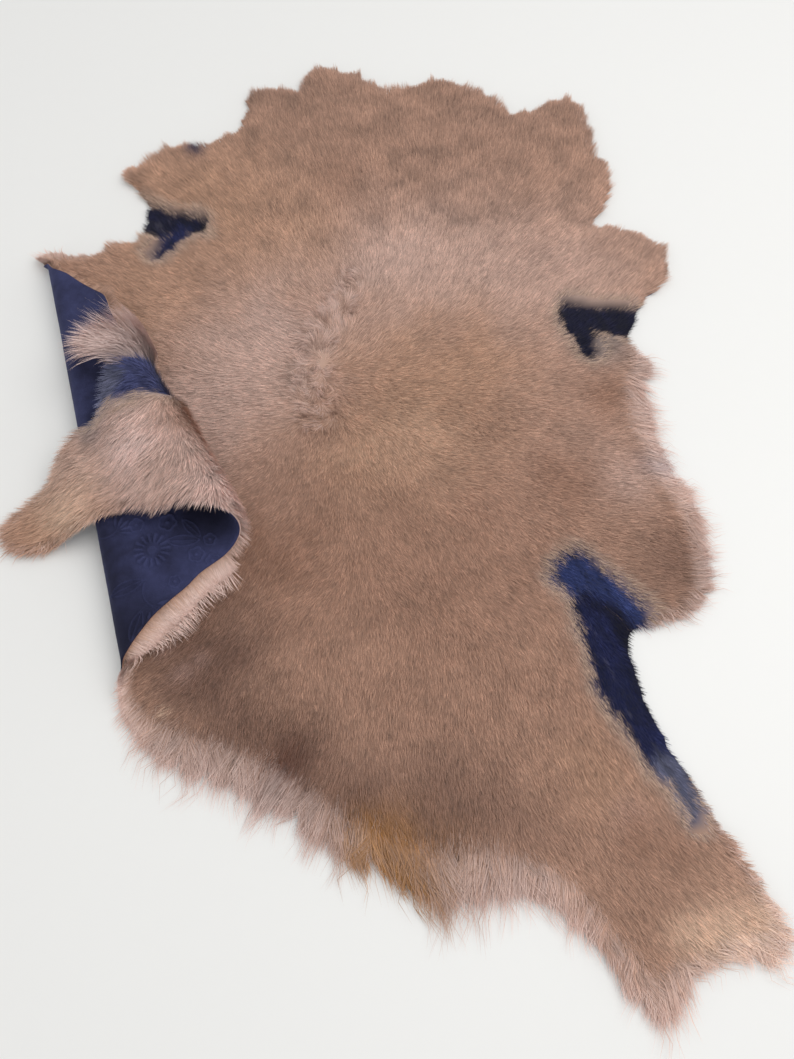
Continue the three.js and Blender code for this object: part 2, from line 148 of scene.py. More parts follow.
BODY_RIM = [
    # x, y, hair
    (-0.365, 0.616, 0.011),
    (-0.337, 0.622, 0.008),
    (-0.309, 0.634, 0.006),
    (-0.288, 0.648, 0.003),
    (-0.286, 0.680, 0.003),
    (-0.288, 0.702, 0.003),
    (-0.306, 0.730, 0.006),
    (-0.316, 0.744, 0.009),
    (-0.296, 0.757, 0.006),
    (-0.268, 0.780, 0.004),
    (-0.237, 0.781, 0.003),
    (-0.196, 0.803, 0.004),
    (-0.183, 0.834, 0.004),
    (-0.183, 0.868, 0.006),
    (-0.161, 0.879, 0.006),
    (-0.120, 0.871, 0.006),
    (-0.111, 0.905, 0.007),
    (-0.082, 0.912, 0.006),
    (-0.046, 0.899, 0.006),
    (-0.014, 0.876, 0.006),
    (0.016, 0.881, 0.006),
    (0.050, 0.893, 0.006),
    (0.086, 0.878, 0.008),
    (0.115, 0.862, 0.006),
    (0.128, 0.841, 0.004),
    (0.158, 0.835, 0.003),
    (0.188, 0.854, 0.006),
    (0.222, 0.848, 0.007),
    (0.232, 0.822, 0.007),
    (0.228, 0.770, 0.005),
    (0.242, 0.753, 0.005),
    (0.250, 0.725, 0.006),
    (0.236, 0.695, 0.005),
    (0.228, 0.660, 0.004),
    (0.261, 0.655, 0.006),
    (0.292, 0.633, 0.005),
    (0.297, 0.593, 0.006),
    (0.270, 0.563, 0.004),
    (0.257, 0.537, 0.003),
    (0.246, 0.503, 0.006),
    (0.253, 0.480, 0.018),
    (0.240, 0.444, 0.022),
    (0.243, 0.410, 0.022),
    (0.261, 0.347, 0.020),
    (0.276, 0.315, 0.022),
    (0.284, 0.278, 0.018),
    (0.277, 0.224, 0.019),
    (0.264, 0.208, 0.015),
    (0.239, 0.197, 0.010),
    (0.213, 0.187, 0.004),
    (0.215, 0.147, 0.003),
    (0.232, 0.095, 0.003),
    (0.251, 0.060, 0.005),
    (0.271, 0.018, 0.008),
    (0.288, -0.013, 0.010),
    (0.302, -0.045, 0.014),
    (0.295, -0.065, 0.028),
    (0.271, -0.070, 0.020),
    (0.242, -0.078, 0.015),
    (0.221, -0.087, 0.020),
    (0.203, -0.099, 0.034),
    (0.181, -0.085, 0.024),
    (0.163, -0.062, 0.020),
    (0.141, -0.037, 0.020),
    (0.110, -0.014, 0.026),
    (0.069, -0.005, 0.034),
    (0.027, -0.007, 0.036),
    (-0.010, 0.000, 0.034),
    (-0.040, 0.017, 0.028),
    (-0.067, 0.036, 0.028),
    (-0.090, 0.051, 0.030),
    (-0.117, 0.065, 0.028),
    (-0.160, 0.084, 0.028),
    (-0.192, 0.092, 0.028),
    (-0.218, 0.104, 0.018),
    (-0.233, 0.118, 0.015),
    (-0.242, 0.134, 0.013),
]

FLAP_LOWER_RIM = [
    # along the flank fold, across it, hair
    (0.476, 0.020, 0.014),
    (0.466, 0.031, 0.012),
    (0.459, 0.044, 0.016),
    (0.446, 0.059, 0.020),
    (0.434, 0.074, 0.022),
    (0.425, 0.090, 0.022),
    (0.416, 0.108, 0.020),
    (0.407, 0.122, 0.020),
]

LEG_RIM = [
    # along the leg fold, across it, hair
    (0.221, -0.007, 0.020),
    (0.214, 0.010, 0.020),
    (0.206, 0.026, 0.020),
    (0.192, 0.042, 0.014),
    (0.178, 0.056, 0.009),
    (0.166, 0.070, 0.006),
    (0.157, 0.088, 0.006),
    (0.142, 0.102, 0.006),
    (0.133, 0.116, 0.006),
    (0.129, 0.136, 0.007),
    (0.128, 0.156, 0.008),
    (0.122, 0.176, 0.010),
    (0.118, 0.200, 0.011),
    (0.112, 0.220, 0.013),
    (0.097, 0.233, 0.015),
    (0.080, 0.232, 0.013),
    (0.071, 0.218, 0.010),
    (0.065, 0.196, 0.007),
    (0.057, 0.172, 0.006),
    (0.045, 0.150, 0.004),
    (0.039, 0.128, 0.004),
    (0.035, 0.102, 0.004),
    (0.018, 0.088, 0.004),
    (0.004, 0.074, 0.005),
    (-0.006, 0.062, 0.014),
    (-0.006, 0.050, 0.050),
    (-0.002, 0.038, 0.062),
    (0.003, 0.026, 0.064),
    (-0.008, 0.016, 0.056),
    (-0.030, 0.011, 0.030),
    (-0.058, 0.009, 0.012),
    (-0.082, 0.009, 0.008),
]

FLAP_UPPER_RIM = [
    # along the flank fold, across it, hair
    (0.076, 0.091, 0.008),
    (0.064, 0.082, 0.005),
    (0.049, 0.069, 0.005),
    (0.033, 0.057, 0.004),
    (0.022, 0.045, 0.004),
    (0.010, 0.036, 0.005),
    (-0.002, 0.029, 0.010),
    (-0.013, 0.023, 0.016),
    (-0.018, 0.010, 0.014),
]

# The armpits, the groin and the top of the leg, where the hair is thin and the dye shows.
DYED_PATCHES = [
    # x, y and half width of one end, the same of the other, colour
    (-0.294, 0.684, 0.017, -0.224, 0.656, 0.015, "night"),
    (-0.282, 0.664, 0.014, -0.262, 0.654, 0.014, "night"),
    (-0.242, 0.650, 0.016, -0.264, 0.622, 0.009, "deep_blue"),
    (0.188, 0.537, 0.019, 0.270, 0.527, 0.022, "night"),
    (0.190, 0.528, 0.018, 0.200, 0.498, 0.015, "night"),
    (0.160, 0.246, 0.015, 0.186, 0.218, 0.018, "blue"),
    (0.168, 0.254, 0.015, 0.216, 0.202, 0.018, "blue"),
    (0.180, 0.205, 0.020, 0.206, 0.180, 0.020, "deep_blue"),
    (0.188, 0.192, 0.024, 0.208, 0.130, 0.024, "deep_blue"),
    (0.208, 0.130, 0.024, 0.234, 0.072, 0.018, "deep_blue"),
    (0.178, 0.220, 0.003, 0.216, 0.184, 0.007, "night"),
    (0.210, 0.176, 0.007, 0.222, 0.110, 0.004, "night"),
    (0.236, 0.066, 0.014, 0.254, 0.030, 0.006, "slate_blue"),
    (-0.446, 0.366, 0.028, -0.492, 0.380, 0.022, "dusk_blue"),
    (-0.492, 0.376, 0.018, -0.510, 0.362, 0.012, "slate_blue"),
]
DYED_BORDER = 0.012          # how far across a patch's colour fades out
DYED_THINNING = 0.45         # how much thinner the hair grows in a patch
SMOKE_REACH = 0.016          # how far the hair beside a patch is greyed
SMOKE_SHARE = 0.65           # and how much

RUMPLE_STRETCHES = [
    # x and y of one end, x and y of the other, half width
    (-0.046, 0.585, -0.064, 0.548, 0.022),
    (-0.066, 0.535, -0.086, 0.500, 0.029),
    (-0.090, 0.465, -0.082, 0.412, 0.027),
]

# Which way the hair lies, in degrees from +x towards +y on the flat hide.
HAIR_WAYS = [
    # x, y, degrees
    (-0.120, 0.850, 112),
    (0.000, 0.850, 96),
    (0.150, 0.820, 78),
    (-0.080, 0.700, 108),
    (0.060, 0.700, 84),
    (0.200, 0.690, 55),
    (-0.226, 0.700, 140),
    (-0.340, 0.620, 158),
    (-0.140, 0.620, 138),
    (-0.060, 0.620, 112),
    (0.000, 0.590, 66),
    (0.080, 0.605, 58),
    (0.180, 0.590, 38),
    (0.260, 0.610, 40),
    (-0.120, 0.520, 172),
    (-0.220, 0.520, 170),
    (-0.130, 0.430, 190),
    (-0.220, 0.400, 192),
    (-0.170, 0.340, 215),
    (-0.220, 0.260, 228),
    (-0.030, 0.520, 42),
    (-0.030, 0.440, -30),
    (0.056, 0.480, 8),
    (0.130, 0.480, 0),
    (0.230, 0.430, -4),
    (0.074, 0.385, -32),
    (0.165, 0.385, -14),
    (0.240, 0.330, -14),
    (0.270, 0.250, -26),
    (-0.090, 0.370, 262),
    (-0.020, 0.340, -68),
    (0.040, 0.256, -66),
    (0.120, 0.250, -46),
    (-0.121, 0.256, 250),
    (-0.152, 0.179, 250),
    (-0.210, 0.130, 236),
    (-0.156, 0.107, 266),
    (-0.100, 0.073, 262),
    (-0.015, 0.125, 268),
    (0.055, 0.107, 278),
    (0.126, 0.107, 290),
    (0.180, 0.170, 292),
    (0.210, 0.080, 292),
    (-0.050, 0.030, 268),
    (-0.012, -0.006, 292),
    (0.026, -0.014, 278),
    (0.056, -0.012, 264),
    (0.084, 0.000, 268),
    (0.108, -0.004, 304),
    (0.140, -0.030, 314),
    (0.180, -0.075, 306),
    (0.215, -0.105, 304),
    (0.180, 0.000, 304),
    (0.230, -0.040, 304),
    (0.270, -0.020, 306),
    (0.295, -0.060, 318),
    (-0.470, 0.365, 205),
    (-0.434, 0.394, 100),
    (-0.450, 0.398, 118),
    (-0.464, 0.402, 138),
    (-0.435, 0.310, 262),
    (-0.429, 0.255, 270),
    (-0.425, 0.190, 272),
    (-0.480, 0.297, 214),
    (-0.469, 0.234, 222),
    (-0.539, 0.290, 200),
    (-0.600, 0.280, 196),
    (-0.640, 0.290, 194),
]
TUFT_STRETCHES = [
    # where the leg's tuft of long hair grows: x and y of one end, of the other, half width
    (-0.437, 0.390, -0.462, 0.398, 0.018),
]
HAIR_WAY_BLEND = 0.018       # how softly the hair turns from one row's way to the next

# Hair that is dyed in the tub takes these colours, as they look on screen.
SCREEN_COLOURS = {
    "fawn": (165, 130, 111),
    "taupe": (150, 118, 101),
    "tan": (172, 136, 112),
    "pale_rose": (189, 162, 151),
    "rose": (176, 144, 134),
    "dusty": (168, 139, 126),
    "brown": (148, 112, 93),
    "dark_brown": (112, 83, 70),
    "umber": (88, 57, 45),
    "golden": (142, 94, 22),
    "cream": (205, 176, 154),
    "blush": (214, 190, 183),
    "slate": (112, 108, 122),
    "smoke": (128, 116, 112),
    "slate_blue": (84, 86, 108),
    "dusk_blue": (58, 62, 98),
    "blue": (40, 50, 92),
    "deep_blue": (22, 27, 62),
    "night": (13, 14, 38),
    "suede": (50, 53, 84),
    "suede_light": (59, 63, 98),
    "suede_dark": (34, 35, 56),
}

# Where the fur differs from fawn, one row after the other.
FUR_SPOTS = [
    # x, y, reach, strength, colour
    (-0.117, 0.850, 0.110, 0.95, "taupe"),
    (0.124, 0.830, 0.120, 0.90, "taupe"),
    (0.060, 0.715, 0.080, 0.95, "taupe"),
    (-0.078, 0.705, 0.055, 1.00, "taupe"),
    (-0.070, 0.720, 0.035, 0.45, "brown"),
    (-0.226, 0.690, 0.100, 0.80, "tan"),
    (-0.120, 0.626, 0.060, 0.60, "tan"),
    (-0.250, 0.540, 0.090, 0.60, "tan"),
    (0.100, 0.540, 0.160, 0.55, "dusty"),
    (0.210, 0.400, 0.080, 0.45, "dusty"),
    (0.000, 0.600, 0.070, 0.80, "pale_rose"),
    (0.100, 0.590, 0.080, 0.50, "pale_rose"),
    (0.200, 0.590, 0.080, 0.45, "pale_rose"),
    (-0.130, 0.500, 0.080, 1.00, "pale_rose"),
    (-0.180, 0.430, 0.080, 0.95, "pale_rose"),
    (-0.225, 0.350, 0.050, 0.80, "pale_rose"),
    (0.060, 0.470, 0.080, 0.75, "tan"),
    (0.000, 0.400, 0.080, 0.90, "tan"),
    (0.006, 0.390, 0.050, 0.35, "cream"),
    (0.210, 0.438, 0.030, 0.90, "brown"),
    (0.222, 0.340, 0.030, 0.70, "pale_rose"),
    (0.165, 0.340, 0.035, 0.75, "brown"),
    (0.262, 0.260, 0.045, 0.70, "dark_brown"),
    (0.247, 0.043, 0.014, 0.80, "slate"),
    (0.190, 0.036, 0.020, 0.60, "rose"),
    (0.250, -0.012, 0.015, 0.70, "brown"),
    (0.040, 0.230, 0.110, 0.30, "brown"),
    (-0.110, 0.260, 0.050, 0.95, "brown"),
    (-0.152, 0.179, 0.040, 0.90, "dark_brown"),
    (-0.180, 0.150, 0.050, 0.85, "dark_brown"),
    (-0.150, 0.105, 0.036, 0.75, "dark_brown"),
    (-0.098, 0.072, 0.036, 1.00, "umber"),
    (-0.040, 0.045, 0.045, 0.75, "dark_brown"),
    (0.040, 0.040, 0.045, 0.70, "dark_brown"),
    (0.100, 0.030, 0.040, 0.45, "dark_brown"),
    (0.175, 0.060, 0.040, 0.60, "tan"),
    (0.200, 0.010, 0.022, 0.80, "brown"),
    (0.235, 0.000, 0.018, 0.80, "brown"),
    (0.215, -0.045, 0.030, 0.80, "brown"),
    (0.258, -0.066, 0.038, 1.00, "cream"),
    (0.296, -0.046, 0.022, 0.90, "cream"),
    (-0.034, -0.002, 0.030, 1.00, "golden"),
    (0.010, -0.016, 0.036, 1.00, "golden"),
    (0.257, 0.360, 0.016, 0.80, "slate"),
    (-0.238, 0.774, 0.012, 1.00, "deep_blue"),
    (-0.202, 0.118, 0.004, 0.80, "cream"),
    (-0.190, 0.152, 0.008, 0.50, "rose"),
    (-0.210, 0.172, 0.007, 0.50, "rose"),
    (-0.176, 0.165, 0.007, 0.50, "rose"),
    (0.222, 0.502, 0.022, 0.85, "smoke"),
    (-0.484, 0.300, 0.044, 1.00, "blush"),
    (-0.510, 0.360, 0.019, 0.90, "slate"),
    (-0.522, 0.344, 0.017, 0.55, "smoke"),
    (-0.542, 0.310, 0.030, 1.00, "pale_rose"),
    (-0.572, 0.285, 0.034, 1.00, "cream"),
    (-0.428, 0.225, 0.050, 1.00, "blush"),
    (-0.440, 0.300, 0.016, 0.40, "brown"),
    (-0.470, 0.250, 0.030, 0.70, "pale_rose"),
    (-0.610, 0.275, 0.040, 0.60, "tan"),
    (-0.448, 0.406, 0.017, 1.00, "blush"),
]
FUR_SPOT_WANDER = 0.014      # how far their outlines stray
FUR_GAIN = 1.42              # the hair reflects this much more than it looks on screen

# Flowers pressed into the flap's leather. Places are along the flank fold and in from it.
STAMPED_ALONG = (0.325, 0.462)   # where they begin and end along the fold
STAMPED_INWARD = 0.105           # how far in from the fold they reach
STAMPED_MARGIN = 0.012           # and how far into the fold
STAMP_HEIGHT = 0.0018            # how far they stand up
STAMPS = [
    # kind, along, inward, size, turn in degrees
    ("daisy", 0.373, 0.033, 0.0185, 12),
    ("rosette", 0.350, 0.052, 0.0085, 0),
    ("rosette", 0.344, 0.024, 0.0070, 30),
    ("rosette", 0.389, 0.071, 0.0075, 10),
    ("rosette", 0.399, 0.084, 0.0065, 40),
    ("rosette", 0.378, 0.086, 0.0060, 20),
    ("leaf", 0.372, 0.062, 0.0160, 75),
    ("leaf", 0.362, 0.072, 0.0130, 30),
    ("fern", 0.425, 0.022, 0.0240, 35),
    ("fern", 0.345, 0.004, 0.0180, 120),
    ("leaf", 0.402, 0.004, 0.0170, 100),
    ("leaf", 0.440, 0.006, 0.0150, 150),
    ("rosette", 0.409, 0.047, 0.0060, 0),
]


def linear(red, green, blue):
    """Scene colour of a screen colour from 0 to 255."""
    value = np.array([red, green, blue]) / 255.0
    return np.where(value <= 0.04045, value / 12.92, ((value + 0.055) / 1.055) ** 2.4)


COLOURS = {name: linear(*value) for name, value in SCREEN_COLOURS.items()}
PALE_HAIR = COLOURS["blush"] * FUR_GAIN


def mixed(colours, other, share):
    """Colours moved towards another one, each by its own share."""
    return colours + share[:, None] * (other - colours)


def smooth(value):
    """Eases a value from 0 to 1, held at both ends."""
    t = np.clip(value, 0.0, 1.0)
    return t * t * (3.0 - 2.0 * t)


def unit(vectors):
    """The vectors at length 1."""
    return vectors / np.maximum(np.linalg.norm(vectors, axis=-1, keepdims=True), 1e-12)


def smooth_noise(points, cell, seed):
    """Soft random values from -1 to 1 that change over about one cell."""
    size = 256
    lattice = np.random.default_rng(seed).uniform(-1.0, 1.0, (size, size))
    spot = points / cell
    low = np.floor(spot).astype(int)
    part = smooth(spot - low)
    x0, y0 = low[:, 0] % size, low[:, 1] % size
    x1, y1 = (x0 + 1) % size, (y0 + 1) % size
    bottom = lattice[x0, y0] * (1 - part[:, 0]) + lattice[x1, y0] * part[:, 0]
    top = lattice[x0, y1] * (1 - part[:, 0]) + lattice[x1, y1] * part[:, 0]
    return bottom * (1 - part[:, 1]) + top * part[:, 1]


def wander(points, cell, seed):
    """Soft random shifts in x and y, from -1 to 1, that change over about one cell."""
    return np.column_stack([smooth_noise(points, cell, seed + k) for k in range(2)])


class Fold:
    """A straight fold line. Past it the hide bends through half a turn and comes back.

    side is +1 where the hide crosses the line to the left of its run, and -1 to the right.
    """

    def __init__(self, start, end, radius, side):
        self.start = np.asarray(start, dtype=float)
        self.run = unit(np.asarray(end, dtype=float) - self.start)
        self.past = side * np.array([-self.run[1], self.run[0]])
        self.radius = radius
        self.arc = math.pi * radius

    def measure(self, points):
        offset = points - self.start
        return offset @ self.run, offset @ self.past

    def point(self, along, across):
        return self.start + np.outer(along, self.run) + np.outer(across, self.past)


FLANK = Fold((-0.368, 0.603), (-0.234, 0.174), FLANK_RADIUS, -1)
LEG = Fold(FLANK.point(0.180, -0.052)[0], FLANK.point(0.400, -0.103)[0], LEG_RADIUS, 1)


def flank_drift(along):
    """Beyond the two ends of the flank fold the hide lies flat again."""
    past_end = np.maximum(FLANK_TOP_END - along, along - FLANK_LOWER_END)
    return FLANK_END_DRIFT * np.maximum(past_end, 0.0)


def leg_to_flat(along, across):
    """Flat places of points that are given along and across the leg's fold."""
    flank_along, flank_across = FLANK.measure(LEG.point(along, across))
    return FLANK.point(flank_along, FLANK.arc - flank_across)


def leg_height(from_leg_fold, inside_flank_fold):
    """How high the folded leg's leather lies."""
    over_flap = 2 * FLANK.radius + LEG_CLEARANCE
    at_fold = 2 * FLANK.radius + 2 * LEG.radius - over_flap
    on_flap = smooth((inside_flank_fold - LEG_LANDS) / (LEG_STARTS_DOWN - LEG_LANDS))
    return over_flap * on_flap + at_fold * smooth(1 - from_leg_fold / LEG_SETTLES)


def folded(flat):
    """Where points of the flat leather side lie once the hide is folded."""
    along, across_line = FLANK.measure(flat)
    drift = flank_drift(along)
    across = across_line - drift
    place = np.column_stack([flat, np.zeros(len(flat))])

    def put(chosen, spot, height):
        place[chosen] = np.column_stack([spot, height])[chosen]

    turn = across / FLANK.radius
    bend = FLANK.point(along, drift + FLANK.radius * np.sin(turn))
    put((across > 0) & (across < FLANK.arc), bend, FLANK.radius * (1 - np.cos(turn)))

    on_flap = FLANK.point(along, drift + FLANK.arc - across)
    past_flank = across >= FLANK.arc
    flap_height = np.full(len(flat), 2 * FLANK.radius)
    put(past_flank, on_flap, flap_height)

    leg_along, leg_across = LEG.measure(on_flap)
    turn = leg_across / LEG.radius
    bend = LEG.point(leg_along, LEG.radius * np.sin(turn))
    height = flap_height + LEG.radius * (1 - np.cos(turn))
    put(past_flank & (leg_across > 0) & (leg_across < LEG.arc), bend, height)

    reach = leg_across - LEG.arc
    spot = LEG.point(leg_along, -reach)
    height = leg_height(reach, -FLANK.measure(spot)[1])
    put(past_flank & (leg_across >= LEG.arc), spot, height)
    return place


def fold_frame(flat):
    """How the folded leather runs: its steps across and along the hide, and the fur side."""
    step = 0.0005
    across = (folded(flat + [step, 0]) - folded(flat - [step, 0])) / (2 * step)
    along = (folded(flat + [0, step]) - folded(flat - [0, step])) / (2 * step)
    return across, along, unit(np.cross(across, along))


def into_space(vectors, axes):
    """Directions on the flat hide, turned the way the folded hide lies."""
    return vectors[:, :1] * axes[0] + vectors[:, 1:] * axes[1]


def on_body(flat):
    """Which places lie on the body rather than past the flank fold."""
    return (FLANK.measure(flat)[1] < 0).astype(float)


def on_hide(flat, height):
    """Points that stand off the leather side by a height, on the fur side."""
    return folded(flat) + fold_frame(flat)[2] * np.reshape(height, (-1, 1))


def from_line(flat, x0, y0, x1, y1):
    """How far places lie from a stretch of line, and their share of the way along it."""
    start = np.array([x0, y0])
    line = np.array([x1, y1]) - start
    share = np.clip((flat - start) @ line / (line @ line), 0.0, 1.0)
    return np.linalg.norm(flat - start - np.outer(share, line), axis=1), share


def near_stretches(flat, stretches):
    """1 on the middle line of the nearest stretch, falling to 0 at its half width."""
    found = np.zeros(len(flat))
    for x0, y0, x1, y1, half_width in stretches:
        away, _ = from_line(flat, x0, y0, x1, y1)
        found = np.maximum(found, smooth(1 - away / half_width))
    return found


def rim_rows():
    """The whole cut edge, flat, as rows of x, y and hair length."""
    def flap_rows(rows):
        rows = np.array(rows)
        return np.column_stack([FLANK.point(rows[:, 0], rows[:, 1]), rows[:, 2]])

    leg = np.array(LEG_RIM)
    leg_rows = np.column_stack([leg_to_flat(leg[:, 0], leg[:, 1]), leg[:, 2]])
    return np.vstack([
        np.array(BODY_RIM), flap_rows(FLAP_LOWER_RIM), leg_rows, flap_rows(FLAP_UPPER_RIM)])


def smooth_loop(knots, step):
    """Evenly spaced points on a smooth curve through a closed row of knots."""
    before, after = np.roll(knots, 1, axis=0), np.roll(knots, -1, axis=0)
    last = np.roll(knots, -2, axis=0)

    def gap(a, b):
        return np.linalg.norm(b - a, axis=1, keepdims=True) ** 0.5

    d0, d1, d2 = gap(before, knots), gap(knots, after), gap(after, last)
    leave = (knots - before) / d0 - (after - before) / (d0 + d1) + (after - knots) / d1
    reach = (after - knots) / d1 - (last - knots) / (d1 + d2) + (last - after) / d2
    t = np.linspace(0, 1, KNOT_DIVISIONS, endpoint=False)[None, :, None]
    fine = (
        (2 * t**3 - 3 * t**2 + 1) * knots[:, None]
        + (t**3 - 2 * t**2 + t) * (leave * d1)[:, None]
        + (3 * t**2 - 2 * t**3) * after[:, None]
        + (t**3 - t**2) * (reach * d1)[:, None]
    ).reshape(-1, knots.shape[1])
    closed = np.vstack([fine, fine[:1]])
    run = np.concatenate([[0], np.cumsum(np.linalg.norm(np.diff(closed, axis=0), axis=1))])
    count = int(round(run[-1] / step))
    spots = np.linspace(0, run[-1], count, endpoint=False)
    return np.column_stack([np.interp(spots, run, closed[:, k]) for k in range(knots.shape[1])])


def inside_loop(points, loop):
    """Which points lie inside a closed row of points."""
    inside = np.zeros(len(points), dtype=bool)
    for (ax, ay), (bx, by) in zip(loop, np.roll(loop, 1, axis=0)):
        if ay == by:
            continue
        crosses = (ay > points[:, 1]) != (by > points[:, 1])
        inside ^= crosses & (points[:, 0] < (bx - ax) * (points[:, 1] - ay) / (by - ay) + ax)
    return inside


def even_grid(low, high, step, seed):
    """A slightly loose grid of triangles over a rectangle."""
    row_step = step * math.sqrt(3) / 2
    rows = np.arange(low[1], high[1], row_step)
    places = np.arange(low[0], high[0], step)
    x, y = np.meshgrid(places, rows)
    x[1::2] += step / 2
    grid = np.column_stack([x.ravel(), y.ravel()])
    return grid + np.random.default_rng(seed).uniform(-0.06, 0.06, grid.shape) * step


def in_stamped_area(flat):
    """The lower part of the flap, where flowers are pressed into the leather."""
    along, across = FLANK.measure(flat)
    inward = across - FLANK.arc
    low, high = STAMPED_ALONG
    return (along > low) & (along < high) & (inward > -STAMPED_MARGIN) & (inward < STAMPED_INWARD)


def ragged_rim():
    """The cut edge's points with their hair, nibbled along the body, and their outward ways."""
    rim = smooth_loop(rim_rows(), RIM_STEP)
    line = rim[:, :2]
    tangent = unit(np.roll(line, -1, axis=0) - np.roll(line, 1, axis=0))
    outward = np.column_stack([-tangent[:, 1], tangent[:, 0]])
    nibbled = smooth_noise(line, 0.014, 5) + 0.7 * smooth_noise(line, 0.007, 6)
    at_neck = smooth((rim[:, 1] - 0.55) / 0.10)
    ragged = RIM_RAGGED * (0.35 + 0.65 * at_neck) * on_body(line)
    rim[:, :2] += outward * (ragged * (nibbled + 0.4))[:, None]
    return rim, outward


def inner_points(rim):
    """Points inside the cut edge, closest together where the flowers are."""
    low, high = rim[:, :2].min(axis=0), rim[:, :2].max(axis=0)
    body = even_grid(low, high, BODY_STEP, 1)
    past_fold = even_grid(low, high, FOLDED_STEP, 2)
    flowered = even_grid(low, high, STAMPED_STEP, 3)
    near_fold = -BODY_STEP
    body = body[FLANK.measure(body)[1] < near_fold]
    past_fold = past_fold[FLANK.measure(past_fold)[1] >= near_fold]
    past_fold = past_fold[~in_stamped_area(past_fold)]
    flowered = flowered[in_stamped_area(flowered)]
    inner = np.vstack([body, past_fold, flowered])
    inner = inner[inside_loop(inner, rim[:, :2])]
    return inner[rim_distance(inner, rim)[0] > 0.6 * RIM_STEP]


def rim_distance(points, rim):
    """How far points lie from the cut edge, and which of its points is nearest."""
    tree = KDTree(len(rim))
    for index, (x, y, _) in enumerate(rim):
        tree.insert((x, y, 0), index)
    tree.balance()
    found = [tree.find((x, y, 0)) for x, y in points]
    return np.array([hit[2] for hit in found]), np.array([hit[1] for hit in found])


def flat_triangles(points, rim_count):
    """Triangles of the flat hide, all turned the same way."""
    loop = list(range(rim_count))
    result = delaunay_2d_cdt([tuple(p) for p in points], [], [loop], 1, 1e-7)
    made, faces, sources = np.array([tuple(v) for v in result[0]]), result[2], result[3]
    if len(made) != len(points):
        raise ValueError("the flat hide's points moved")
    source = np.array([old[0] for old in sources])
    triangles = source[np.array([face for face in faces if len(face) == 3])]
    a, b, c = (points[triangles[:, k]] for k in range(3))
    turned = (b[:, 0] - a[:, 0]) * (c[:, 1] - a[:, 1]) - (b[:, 1] - a[:, 1]) * (c[:, 0] - a[:, 0])
    triangles[turned < 0] = triangles[turned < 0][:, ::-1]
    return triangles


def ridge(distance, width):
    """1 along a drawn line, falling to 0 at its width."""
    return smooth(1 - np.abs(distance) / width)


def daisy(u, v, size):
    """A ring of narrow petals round a bare middle."""
    petals = 15
    reach, angle = np.hypot(u, v) / size, np.arctan2(v, u)
    blade = smooth((np.cos(petals * angle) + 0.25) / 0.5)
    ends = smooth((reach - 0.38) / 0.10) * smooth((1.0 - reach) / 0.14)
    return np.maximum(blade * ends, 0.7 * smooth((0.30 - reach) / 0.08))


def rosette(u, v, size):
    """A small flower of five round petals with a raised edge."""
    reach, angle = np.hypot(u, v) / size, np.arctan2(v, u)
    edge = 0.78 + 0.20 * np.abs(np.cos(2.5 * angle))
    return np.maximum(ridge(reach - edge, 0.22), smooth((0.30 - reach) / 0.12))


def leaf(u, v, size):
    """A pointed leaf with its outline and its middle rib raised."""
    half = 0.34 * size * np.clip(1 - (u / size) ** 2, 0, 1)
    within = np.abs(u) < size
    outline = ridge(np.abs(v) - half, 0.0011)
    return within * np.maximum(outline, 0.8 * ridge(v, 0.0009))


def fern(u, v, size):
    """Five leaflets that fan out from the end of a curved stem."""
    drawn = np.zeros(len(u))
    for spread in (-52, -26, 0, 26, 52):
        lean = math.radians(spread)
        along = u * math.cos(lean) + v * math.sin(lean)
        across = v * math.cos(lean) - u * math.sin(lean)
        swell = 0.10 * size * np.clip(1 - ((along / size - 0.58) / 0.40) ** 2, 0, 1)
        drawn = np.maximum(drawn, smooth((swell - np.abs(across)) / 0.0008))
    stem = ridge(np.hypot(u + 0.1 * size, v - 0.75 * size) - 0.75 * size, 0.0011)
    return np.maximum(drawn, stem * (u < 0.1 * size) * (v < 0.5 * size))


STAMP_SHAPES = {"daisy": daisy, "rosette": rosette, "leaf": leaf, "fern": fern}


def stamped(flat):
    """How far the leather is raised by its flowers, from 0 to 1."""
    along, across = FLANK.measure(flat)
    inward = across - FLANK.arc
    raised = np.zeros(len(flat))
    for kind, middle, depth, size, turn in STAMPS:
        u0, v0, lean = along - middle, inward - depth, math.radians(turn)
        near = np.hypot(u0, v0) < 2.2 * size
        u = (u0 * math.cos(lean) + v0 * math.sin(lean))[near]
        v = (v0 * math.cos(lean) - u0 * math.sin(lean))[near]
        raised[near] = np.maximum(raised[near], STAMP_SHAPES[kind](u, v, size))
    return raised * in_stamped_area(flat)


def patch_distances(flat):
    """How far places lie outside each dyed patch, negative inside it, with uneven borders."""
    places = flat + 0.005 * wander(flat, 0.020, 23) + 0.0025 * wander(flat, 0.006, 25)
    rows = []
    for x0, y0, half0, x1, y1, half1, _ in DYED_PATCHES:
        away, share = from_line(places, x0, y0, x1, y1)
        rows.append(away - (half0 + (half1 - half0) * share))
    return np.array(rows)


def patch_away(flat):
    """How far places lie outside the nearest dyed patch."""
    return patch_distances(flat).min(axis=0)


def bareness(flat):
    """1 in the dyed patches where the hair is thin, 0 outside them."""
    return smooth(0.5 - patch_away(flat) / DYED_BORDER)


def wool_depth(flat, rim_away):
    """How far the top of the dense wool stands off the leather side."""
    swell = UNEVEN * smooth_noise(flat, 0.030, 11)
    raised = RUMPLE_HEIGHT * near_stretches(flat, RUMPLE_STRETCHES)
    inward = smooth(rim_away / WOOL_RIM_WIDTH)
    full = WOOL_RIM_DEPTH + (WOOL_DEPTH - WOOL_RIM_DEPTH) * inward
    full = full + (swell + raised) * inward
    return full + bareness(flat) * (np.minimum(full, WOOL_SPARSE_DEPTH) - full)


